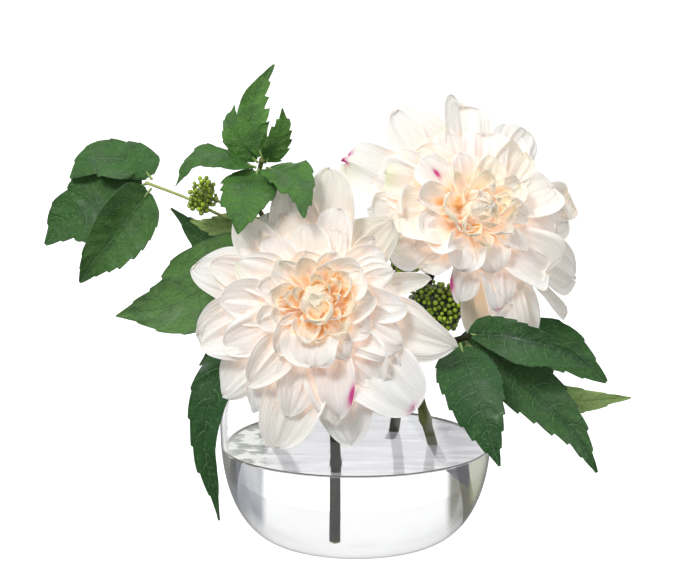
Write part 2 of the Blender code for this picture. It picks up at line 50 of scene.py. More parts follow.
# Sockets in plain sums: mask * 0.5 + 1 adds the Math nodes for it
class Wire:
    def __init__(self, tree, socket=None):
        self.tree = tree
        self.socket = socket

    def node(self, kind, settings=None, inputs=None, output=0):
        made = self.tree.nodes.new(kind)
        for name, value in (settings or {}).items():
            setattr(made, name, value)
        for name, value in (inputs or {}).items():
            if isinstance(value, Wire):
                self.tree.links.new(value.socket, made.inputs[name])
            else:
                made.inputs[name].default_value = value
        return Wire(self.tree, made.outputs[output])

    def maths(self, operation, *terms):
        return self.node("ShaderNodeMath", {"operation": operation}, dict(enumerate(terms)))

    def __add__(self, other):
        return self.maths("ADD", self, other)

    def __sub__(self, other):
        return self.maths("SUBTRACT", self, other)

    def __rsub__(self, other):
        return self.maths("SUBTRACT", other, self)

    def __mul__(self, other):
        return self.maths("MULTIPLY", self, other)

    __radd__ = __add__
    __rmul__ = __mul__

    def fract(self):
        return self.maths("FRACT", self)

    def size(self):
        return self.maths("ABSOLUTE", self)

    def most(self, other):
        return self.maths("MAXIMUM", self, other)

    def part(self, letter):
        return self.node("ShaderNodeSeparateXYZ", inputs={0: self}, output=letter)

    def smooth(self, low, high):
        settings = {"interpolation_type": "SMOOTHSTEP"}
        return self.node("ShaderNodeMapRange", settings, {"Value": self, "From Min": low, "From Max": high})

    def blend(self, first, second):
        # the mask chooses between two colours
        inputs = {0: self, 6: first, 7: second}
        return self.node("ShaderNodeMix", {"data_type": "RGBA", "clamp_factor": True}, inputs, 2)

    def noise(self, scale, detail=2.0, roughness=0.5):
        inputs = {"Vector": self, "Scale": scale, "Detail": detail, "Roughness": roughness}
        return self.node("ShaderNodeTexNoise", inputs=inputs)

    def stretched(self, scale):
        return self.node("ShaderNodeMapping", inputs={"Vector": self, "Scale": scale})

    def bump(self, distance, strength):
        inputs = {"Height": self, "Distance": distance, "Strength": strength}
        return self.node("ShaderNodeBump", inputs=inputs)


def newFinish(name, colour, fixed):
    # a material with the values that stay the same all over set on its shader
    material = bpy.data.materials.new(name)
    material.use_nodes = True
    material.diffuse_color = colour
    shader = material.node_tree.nodes["Principled BSDF"]
    shader.inputs["Base Color"].default_value = colour
    for socket, value in fixed.items():
        shader.inputs[socket].default_value = value
    return material, shader, Wire(material.node_tree)


def join(shader, **links):
    names = {"colour": "Base Color", "roughness": "Roughness", "normal": "Normal",
             "glow": "Emission Color", "coat": "Coat Weight"}
    for name, wire in links.items():
        wire.tree.links.new(wire.socket, shader.inputs[names[name]])


def finishWith(material, last):
    tree = material.node_tree
    tree.links.new(last.socket, tree.nodes["Material Output"].inputs["Surface"])


def mixShaders(share, first, second):
    return share.node("ShaderNodeMixShader", inputs={0: share, 1: first, 2: second})


def attribute(wire, name):
    return wire.node("ShaderNodeAttribute", {"attribute_name": name}, output=2)


def objectPlace(wire):
    return wire.node("ShaderNodeTexCoord", output="Object")


def sheetPlace(wire):
    # a sheet's own place, from 0 to 1 across it and along it
    return wire.node("ShaderNodeUVMap", {"uv_map": "sheet"})


def turnedAway(wire):
    # 0 where a surface faces the view, 1 where it is seen side on
    return wire.node("ShaderNodeLayerWeight", inputs={"Blend": 0.5}, output="Facing")


petalFinish = {
    "ivory": (0.94, 0.925, 0.89, 1),
    "cream": (0.98, 0.885, 0.66, 1),
    "warm": (0.96, 0.785, 0.645, 1),
    "blush": (0.95, 0.77, 0.70, 1),
    "deep": (0.90, 0.50, 0.15, 1),
    "creviceShade": (0.62, 0.13, 0.07, 1),
    "lime": (0.80, 0.85, 0.45, 1),
    "mark": (0.62, 0.04, 0.28, 1),
    "old": (0.70, 0.62, 0.50, 1),
    "edge": (0.96, 0.94, 0.90, 1),
    "line": (0.71, 0.63, 0.53, 1),
    # the petals glow faintly with painted light
    "glow": 0.32,
}


def makePetalFinish(name="petalCloth", plan=petalFinish):
    fixed = {"Subsurface Weight": 0.3, "Subsurface Radius": (1.0, 0.7, 0.5), "Subsurface Scale": 0.003,
             "Specular IOR Level": 0.25, "Sheen Weight": 0.15, "Sheen Roughness": 0.5,
             "Emission Strength": plan["glow"]}
    material, shader, wire = newFinish(name, plan["ivory"], fixed)
    uv = sheetPlace(wire)
    rim = (uv.part("X") * 2 - 1).size()
    streaks = uv.stretched((16, 1.2, 1)).noise(2.2, 3)
    cloud = objectPlace(wire).noise(60)
    shelter = attribute(wire, "shelter")
    colour = attribute(wire, "cream").blend(plan["ivory"], plan["cream"])
    # painted shade: outer and back petals turn beige grey where they lie in shade
    colour = attribute(wire, "old").blend(colour, plan["old"])
    colour = (attribute(wire, "blush") * (cloud + 0.45)).blend(colour, plan["blush"])
    colour = (attribute(wire, "warm") * (streaks * 0.5 + 0.75)).blend(colour, plan["warm"])
    # painted warm light where the neighbours hide the sky; painted shade, orange then dark red, in hollows
    colour = (shelter.smooth(0.66, 1.0) * 0.3).blend(colour, plan["warm"])
    colour = (attribute(wire, "deep") * shelter.smooth(0.62, 0.97)).blend(colour, plan["deep"])
    colour = (attribute(wire, "creviceShade") * shelter.smooth(0.85, 1.0)).blend(colour, plan["creviceShade"])
    colour = attribute(wire, "lime").blend(colour, plan["lime"])
    # darker streaks along the petal: its own lines, and painted shade of its pleats
    colour = (streaks.smooth(0.42, 0.72) * 0.17).blend(colour, plan["line"])
    # painted highlight: a bright line along the petal's rim
    colour = (rim.smooth(0.90, 1.0) * 0.5).blend(colour, plan["edge"])
    colour = attribute(wire, "mark").blend(colour, plan["mark"])
    veins = uv.stretched((34, 1.6, 1)).noise(2.0)
    weave = objectPlace(wire).noise(2400, 1)
    height = veins * 0.7 + streaks * 0.9 + weave * 0.05
    # painted glow: sheltered places give off light in their own colour, standing in for light through the
    # petals
    deepestShade = attribute(wire, "deep") * shelter.smooth(0.78, 0.97)
    glow = (shelter.smooth(0.4, 0.9) * (1 - deepestShade * 0.5)).blend((0.0, 0.0, 0.0, 1), colour)
    join(shader, colour=colour, roughness=0.55 + cloud * 0.2, normal=height.bump(0.0008, 0.8), glow=glow)
    return material


# Thin sheets: petals and leaves are grids of points that get a second side and a rim
def unit(vectors):
    return vectors / np.maximum(np.linalg.norm(vectors, axis=-1, keepdims=True), 1e-12)


def facingWays(grid):
    return unit(np.cross(np.gradient(grid, axis=1), np.gradient(grid, axis=0)))


def gridShell(front, thickness):
    rows, columns = front.shape[:2]
    back = front - facingWays(front) * thickness
    count = rows * columns
    index = np.arange(count).reshape(rows, columns)
    top = np.stack([index[:-1, :-1], index[:-1, 1:], index[1:, 1:], index[1:, :-1]], axis=-1).reshape(-1, 4)
    loop = np.concatenate([index[0, :-1], index[:-1, -1], index[-1, :0:-1], index[:0:-1, 0]])
    after = np.roll(loop, -1)
    rim = np.stack([after, loop, loop + count, after + count], axis=-1)
    faces = np.concatenate([top, top[:, ::-1] + count, rim])
    return np.concatenate([front.reshape(-1, 3), back.reshape(-1, 3)]), faces


def sheetPoints(spine, way, side, normal, along, across, off):
    # a grid over a middle line, moved by millimetres along it, across it and off it
    return (spine[:, None, :] + side[:, None, :] * across[..., None] + normal[:, None, :] * off[..., None]
            + way[:, None, :] * along[..., None])


def ringFaces(rows, sides, downward=False):
    # walls between rings of points, and a fan at each end round the two points that come after the rings;
    # downward where the rings are stacked against the way that their turn points
    index = np.arange(rows * sides).reshape(rows, sides)
    after = np.roll(index, -1, axis=1)
    start, end = np.full(sides, rows * sides), np.full(sides, rows * sides + 1)
    walls = np.stack([index[:-1], after[:-1], after[1:], index[1:]], axis=-1).reshape(-1, 4)
    fans = np.concatenate([np.stack([after[0], index[0], start, start], axis=-1),
                           np.stack([index[-1], after[-1], end, end], axis=-1)])
    if downward:
        walls, fans = walls[:, [0, 3, 2, 1]], fans[:, [1, 0, 2, 3]]
    return np.concatenate([walls, fans])


def gather(sheets):
    # several sheets as one: points, faces and the values that each point carries
    points, faces, values, count = [], [], {}, 0
    for sheet in sheets:
        points.append(sheet["points"])
        faces.append(sheet["faces"] + count)
        count += len(sheet["points"])
        for name, value in sheet["values"].items():
            values.setdefault(name, []).append(value)
    return np.concatenate(points), np.concatenate(faces), {n: np.concatenate(v) for n, v in values.items()}


def addPiece(name, points, faces, values, material, sharp=50):
    mesh = bpy.data.meshes.new(name)
    mesh.from_pydata(points.tolist(), [], [list(dict.fromkeys(face)) for face in faces.tolist()])
    corners = np.empty(len(mesh.loops), np.int32)
    mesh.loops.foreach_get("vertex_index", corners)
    if "u" in values:
        layer = mesh.uv_layers.new(name="sheet")
        uv = np.stack([values["u"] * 0.5 + 0.5, values["v"]], axis=-1)[corners]
        layer.data.foreach_set("uv", uv.astype(np.float32).ravel())
    for key, value in values.items():
        if key not in ("u", "v"):
            mesh.attributes.new(key, "FLOAT", "POINT").data.foreach_set("value", value.astype(np.float32))
    mesh.materials.append(material)
    mesh.shade_smooth()
    mesh.set_sharp_from_angle(angle=math.radians(sharp))
    piece = bpy.data.objects.new(name, mesh)
    bpy.context.collection.objects.link(piece)
    return piece


def install(piece, slot, nodes):
    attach(piece, "root")
    if nodes:
        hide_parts(*nodes)
    print("made", piece.name)


def pieceName(node, ending=""):
    words = node.split("_")
    return words[0] + "".join(word.title() for word in words[1:]) + ending


def nodePoints(node):
    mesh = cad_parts[node].data
    points = np.empty(len(mesh.vertices) * 3, np.float32)
    mesh.vertices.foreach_get("co", points)
    return np.unique(points.reshape(-1, 3).round(6), axis=0).astype(float)


def everywhere(points, **values):
    # the same values at every point
    return {name: np.full(len(points), float(value)) for name, value in values.items()}


def mixed(pair, share):
    return pair[0] + (pair[1] - pair[0]) * share


goldenTurn = 2.39996


def spreadWays(count, first):
    # directions spread evenly over a ball, down a spiral from its top
    k = np.arange(count)
    height = 1 - 2 * (k + 0.5) / count
    turn = (k + first) * goldenTurn
    flat = np.sqrt(1 - height ** 2)
    return np.stack([flat * np.cos(turn), flat * np.sin(turn), height], axis=-1)


# Petals. Sizes in millimetres, angles in degrees. turn runs clockwise round the head as it is looked at,
# from its top; reach and rise place the tip, out from the head's axis and up along it; bow arches the
# petal, curl tips its end back, cup rolls its sides up, round squares its tip; loose is the share of its
# chance differences.
petalPlan = {
    "root": 6, "level": 0, "bow": 6, "curl": -2, "cup": 0.4, "round": 2.0, "widest": 0.58, "neck": 0.32,
    "ruffle": 1.3, "crease": 1.15, "groove": 0.8, "rag": 0.7, "notch": 0.7, "pinch": 0.2, "reflex": 0.12,
    "thickness": 0.25, "loose": 1,
    "warm": 0.15, "blush": 0.13, "cream": 0.14, "old": 0, "lime": 0, "deep": 0.25, "creviceShade": 0.2,
    "tipMark": 0, "sideMark": 0, "markSide": 0.95, "spot": 0,
}
# Rows and columns of points
petalMesh = {"ring": (30, 31), "heart": (26, 19), "bract": (12, 9)}


def headFrame(name):
    heart = nodePoints(name + "_heart").mean(axis=0)
    calyx = nodePoints(name + "_calyx")
    middle = calyx.mean(axis=0)
    axis = unit(heart - middle)
    top = ((calyx - middle) @ axis).max()
    up = unit(np.array([0, 0, 1.0]) - axis * axis[2])
    return {"seat": middle + axis * (top + 0.0013), "axis": axis, "up": up, "right": np.cross(up, axis)}


def petalSpine(head, plan, rows, dice):
    # the middle line from root to tip, and at its points the ways along it, across it and out of its face
    turn = math.radians(plan["turn"])
    axis, loose = head["axis"], plan["loose"]
    out = head["right"] * math.sin(turn) + head["up"] * math.cos(turn)
    beside = head["right"] * math.cos(turn) - head["up"] * math.sin(turn)
    start = out * plan["root"] + axis * plan["level"]
    tip = out * plan["reach"] + axis * plan["rise"]
    chord = tip - start
    face = unit(np.cross(beside, chord))
    second = start + chord * 0.33 + face * plan["bow"]
    third = start + chord * 0.74 + face * (plan["bow"] - plan["curl"])
    third = third + beside * dice.uniform(-2.5, 2.5) * loose
    # a cubic curve whose rows stand closer towards the tip
    s = (1 - (1 - np.linspace(0, 1, rows)) ** 1.4)[:, None]
    spine = (start * (1 - s) ** 3 + second * 3 * s * (1 - s) ** 2 + third * 3 * s ** 2 * (1 - s)
             + tip * s ** 3)
    way = unit(np.gradient(spine, axis=0))
    side = unit(beside - way * (way @ beside)[:, None])
    normal = np.cross(side, way)
    twist = np.radians(dice.uniform(-14, 14) * loose) * s
    cos, sin = np.cos(twist), np.sin(twist)
    return s, spine, way, side * cos + normal * sin, normal * cos - side * sin


def petalHalf(plan, s, u, phase):
    # half the width: it swells from the neck to the widest place and closes round the tip, a little lopsided
    grow = plan["neck"] + (1 - plan["neck"]) * np.sin(np.pi / 2 * np.clip(s / plan["widest"], 0, 1)) ** 1.1
    fall = np.clip((s - plan["widest"]) / (1 - plan["widest"]), 0, 1)
    corner = 1 + (plan["round"] - 1) * (0.72 if plan["round"] < 3 else 1)
    half = plan["width"] / 2 * grow * (1 - fall ** corner) ** (1 / corner)
    loose = plan["loose"]
    slow = 0.10 * loose * np.sin(phase[6] + 5 * s) * np.sign(u)
    return np.maximum(half, 0.3) * (1 + slow + 0.05 * loose * np.sin(11 * s + phase[10] + u))


def fold(x):
    # pleats with rounded troughs between narrower ridges, from -1 to 1
    return 1 - 2 * np.abs(np.sin(x)) ** 0.8


def petalWaves(plan, s, u, half, phase, sides):
    # what stands off the rolled petal: ruffled edges, rims turned back, pleats, the groove and a pinched tip
    edge = np.abs(u) ** 1.6 * s ** 0.6
    waves = plan["ruffle"] * edge * np.sin(7 * s + phase[0] + u * 2.2)
    waves = waves + plan["ruffle"] * 0.5 * edge * np.sin(15 * s + phase[1] - u * 1.5)
    rim = np.where(u < 0, sides[1], sides[2]) * np.clip(np.abs(u) - 0.5, 0, 1) ** 1.5
    waves = waves + plan["reflex"] * 4 * rim * half * s ** 0.8
    body = np.sin(np.pi * np.clip(s, 0, 1) ** 0.8) ** 0.5
    drift = 0.5 * np.sin(3 * s + phase[11])
    pleat = fold(u * 3.1 + phase[2] + drift * 0.4) + 0.55 * fold(u * 5.3 + phase[3] + drift)
    pleat = pleat + 0.35 * fold(u * 9 + phase[8])
    waves = waves + plan["crease"] * body * (1.2 - 0.6 * s) * pleat * np.clip(half / 9, 0.2, 1.2)
    waves = waves - plan["groove"] * np.exp(-(u / 0.12) ** 2) * (1 - s) ** 0.4 * body
    return waves + plan["pinch"] * sides[3] * half * (0.5 - np.abs(u)) * s ** 5 * 3


def petalRags(plan, s, u, phase):
    # the uneven end, with its notch
    ragged = plan["rag"] * s ** 6 * (np.sin(u * 5.1 + phase[4]) + 0.7 * np.sin(u * 11 + phase[5]))
    notch = s ** 9 * np.exp(-((u - 0.35 * math.sin(phase[5])) / 0.2) ** 2)
    return ragged - plan["notch"] * plan["loose"] * (1 + math.sin(phase[7])) * notch


def petalTints(plan, s, u, sides):
    # how much of each colour of the finish every point takes
    root = np.exp(-(s / 0.36) ** 2) + 0.2 * np.exp(-(s / 0.7) ** 2)
    tipMark = np.exp(-((1 - s) / 0.035) ** 2) * np.exp(-((u - 0.3) / 0.6) ** 2)
    spread = 0.1 + 1.2 * np.clip(s - 0.66, 0, 1)
    sideMark = np.exp(-((u - plan["markSide"]) / spread) ** 2 - ((s - 0.80) / 0.09) ** 2)
    mark = plan["tipMark"] * tipMark + plan["sideMark"] * np.clip(1.6 * sideMark, 0, 1)
    spot = np.exp(-((u - 0.1) / 0.08) ** 2 - ((s - 0.68) / 0.08) ** 2)
    tints = {
        "warm": plan["warm"] * (1 + 0.5 * sides[4]) * root,
        "blush": plan["blush"] * (1 + 0.5 * sides[5]) * np.exp(-((s - 0.4) / 0.35) ** 2),
        "cream": np.clip(plan["cream"] * (1 + sides[5]) + 0 * s, 0, 1),
        "lime": plan["lime"] * np.clip((s - 0.75) / 0.25, 0, 1) * np.exp(-((u - 0.6 * sides[4]) / 0.6) ** 2),
        "mark": mark + plan["spot"] * spot,
    }
    return {**tints, **{name: plan[name] + 0 * s for name in ("old", "deep", "creviceShade")}}


def petalSheet(head, plan, rows, columns, dice):
    plan = {**petalPlan, **plan}
    s, spine, way, side, normal = petalSpine(head, plan, rows, dice)
    u = np.linspace(-1, 1, columns)[None, :]
    phase = dice.uniform(0, 6.3, 14)
    sides = dice.uniform(-1, 1, 6) * plan["loose"]
    half = petalHalf(plan, s, u, phase)
    roll = np.clip(plan["cup"] * (1.35 - 0.6 * s) * (1 + 0.25 * sides[0] * np.sign(u)), 0.02, 2.9)
    across = half / roll * np.sin(u * roll)
    off = half / roll * (1 - np.cos(u * roll)) + petalWaves(plan, s, u, half, phase, sides)
    grid = sheetPoints(spine, way, side, normal, petalRags(plan, s, u, phase), across, off)
    grid = head["seat"] + grid / 1000
    points, faces = gridShell(grid, plan["thickness"] / 1000)
    s, u = np.broadcast_arrays(s, u)
    values = {"u": u, "v": s, **petalTints(plan, s, u, sides)}
    values = {name: np.tile(value.ravel(), 2) for name, value in values.items()}
    values["mark"][grid[..., 0].size:] *= 0.6    # a mark shows less through the petal's back
    return {"points": points, "faces": faces, "values": values, "grid": grid}


# How much of the sky over each point its neighbours hide: the finish paints warm light, shade and glow there
shelterPlan = {"step": 3, "directions": 26, "lift": 0.0008, "reach": 0.028, "lowest": 0.15}


def hiddenShare(tree, place, facing, ways, rays, plan):
    share = ways @ facing
    above = np.flatnonzero(share > plan["lowest"])
    origin = Vector(place + facing * plan["lift"])
    hidden = sum(share[n] for n in above if tree.ray_cast(origin, rays[n], plan["reach"])[0])
    return hidden / share[above].sum()


def addShelter(sheets, plan=shelterPlan):
    # worked out a few rows and columns apart, and filled in between them
    points, faces, _ = gather(sheets)
    tree = BVHTree.FromPolygons(points.tolist(), faces.tolist())
    ways = spreadWays(plan["directions"], 0)
    rays = [Vector(way) for way in ways]
    for sheet in sheets:
        grid = sheet["grid"]
        rows, columns = grid.shape[:2]
        row, column = (np.unique(np.append(np.arange(0, n, plan["step"]), n - 1)) for n in (rows, columns))
        upward = facingWays(grid)
        both = []
        for sign in (1, -1):
            coarse = np.array([[hiddenShare(tree, grid[r, c], upward[r, c] * sign, ways, rays, plan)
                                for c in column] for r in row])
            filled = np.array([np.interp(np.arange(rows), row, line) for line in coarse.T]).T
            both += [np.interp(np.arange(columns), column, line) for line in filled]
        sheet["values"]["shelter"] = np.concatenate(both)


# The petals of a heart are short loops of a spiral over one another: tubes round it, slips, and a bud that
# closes it
heartUsual = {
    "cream": 1.2, "warm": 0.05, "blush": 0.1, "deep": 0.3, "neck": 0.5, "loose": 0.8, "ruffle": 1.1,
    "crease": 0.8, "reflex": 0.2,
}
heartPlans = {
    "front_dahlia": [
        {"petals": 9, "first": 12, "step": 40, "root": 8, "level": 13, "reach": (21, 24), "rise": (27, 26),
         "width": (19, 15), "bow": -2, "curl": -3, "cup": 1.1, "round": 2.3, "deep": 0.9, "widest": 0.65},
        {"petals": 9, "first": 30, "step": 137.5, "root": (5, 8), "level": 15, "reach": (10, 17),
         "rise": (32, 28), "width": (7, 12), "bow": -2, "curl": -2, "cup": 1.1, "round": 1.9, "deep": 0.9},
        {"petals": 1, "first": 148, "step": 0, "root": 4, "level": 15, "reach": 14, "rise": 33, "width": 23,
         "bow": -1, "curl": -4, "cup": 2.4, "round": 5, "deep": 1, "widest": 0.8, "neck": 0.75,
         "loose": 0.3},
        {"petals": 14, "first": 0, "step": 137.5, "root": (3, 8), "level": (15, 11), "reach": (-3, 3),
         "rise": (34, 28), "width": (10, 15), "bow": (-7, -5), "curl": 0, "cup": 1.0, "round": 1.8},
    ],
    "rear_dahlia": [
        {"petals": 8, "first": 20, "step": 45, "root": 8, "level": 14, "reach": (20, 24), "rise": (29, 27),
         "width": (16, 14), "bow": -2, "curl": -2, "cup": 1.0, "round": 2.2, "cream": 1.2},
        {"petals": 10, "first": 60, "step": 137.5, "root": (4, 8), "level": 16, "reach": (8, 16),
         "rise": (34, 31), "width": (8, 13), "bow": (-2, -3), "curl": -2, "cup": 1.1, "round": 2.2,
         "cream": 1.2},
        {"petals": 1, "first": 282, "step": 0, "root": 9, "level": 14, "reach": 28, "rise": 31, "width": 28,
         "bow": -3, "curl": -2, "cup": 1.4, "round": 3, "deep": 1, "widest": 0.75, "loose": 0.5},
        {"petals": 1, "first": 240, "step": 0, "root": 10, "level": 15, "reach": 25, "rise": 33,
         "width": 24, "bow": -1, "curl": -2, "cup": 2.2, "round": 5, "deep": 1, "widest": 0.8, "neck": 0.7,
         "loose": 0.3},
        {"petals": 14, "first": 40, "step": 137.5, "root": (3, 8), "level": (17, 12), "reach": (-2, 4),
         "rise": (36, 30), "width": (10, 13), "bow": (-5, -6), "curl": 0, "cup": 0.95, "round": 2.1},
    ],
}


def spiralSheets(head, plan, dice):
    # a pair runs from the loop's first petal to its last
    sheets = []
    for k in range(plan["petals"]):
        share = k / max(plan["petals"] - 1, 1)
        petal = {key: mixed(value, share) if isinstance(value, tuple) else value
                 for key, value in plan.items()}
        petal["turn"] = plan["first"] + plan["step"] * k + dice.uniform(-12, 12)
        petal["reach"] += dice.uniform(-1.5, 1.5)
        petal["rise"] += dice.uniform(-1.2, 1.2)
        petal["width"] *= dice.uniform(0.8, 1.25)
        petal["blush"] += dice.uniform(0, 0.5)
        sheets.append(petalSheet(head, petal, *petalMesh["heart"], dice))
    return sheets


def ringSheets(head, ring, dice):
    # evenly spaced petals, each a little different, and longer towards one side of the head
    petals = ring["petals"]
    more, towards = ring["longer"]
    sheets = []
    for k, own in enumerate(petals):
        turn = ring["first"] + 360 / len(petals) * k + own.get("sway", 0)
        reach = ring["reach"] + more * math.cos(math.radians(turn - towards)) + own.get("more", 0)
        petal = {**ring["usual"], "rise": ring["rise"], **own, "turn": turn, "reach": reach}
        petal["rise"] += dice.uniform(-1, 1)
        sheets.append(petalSheet(head, petal, *petalMesh["ring"], dice))
    return sheets


petalLayers = {"outer": (1, 2), "middle": (3, 4), "inner": (5, 6)}


def makeDahlia(name, seed, finish):
    head = headFrame(name)
    dice = np.random.default_rng(seed)
    sheets = {"outer": [], "middle": [], "inner": [], "heart": []}
    for ring in headRings[name]:
        sheets[ring["piece"]] += ringSheets(head, ring, dice)
    for plan in heartPlans[name]:
        sheets["heart"] += spiralSheets(head, {**heartUsual, **plan}, dice)
    addShelter([sheet for ring in sheets.values() for sheet in ring])
    for ring, made in sheets.items():
        points, faces, values = gather(made)
        title = name.replace("_dahlia", "") + ("Heart" if ring == "heart" else ring.title() + "Petals")
        piece = addPiece(title, points, faces, values, finish)
        if ring == "heart":
            install(piece, "heart", [name + "_heart"])
        else:
            install(piece, "petal", [f"{name}_petal_layer_{k}" for k in petalLayers[ring]])


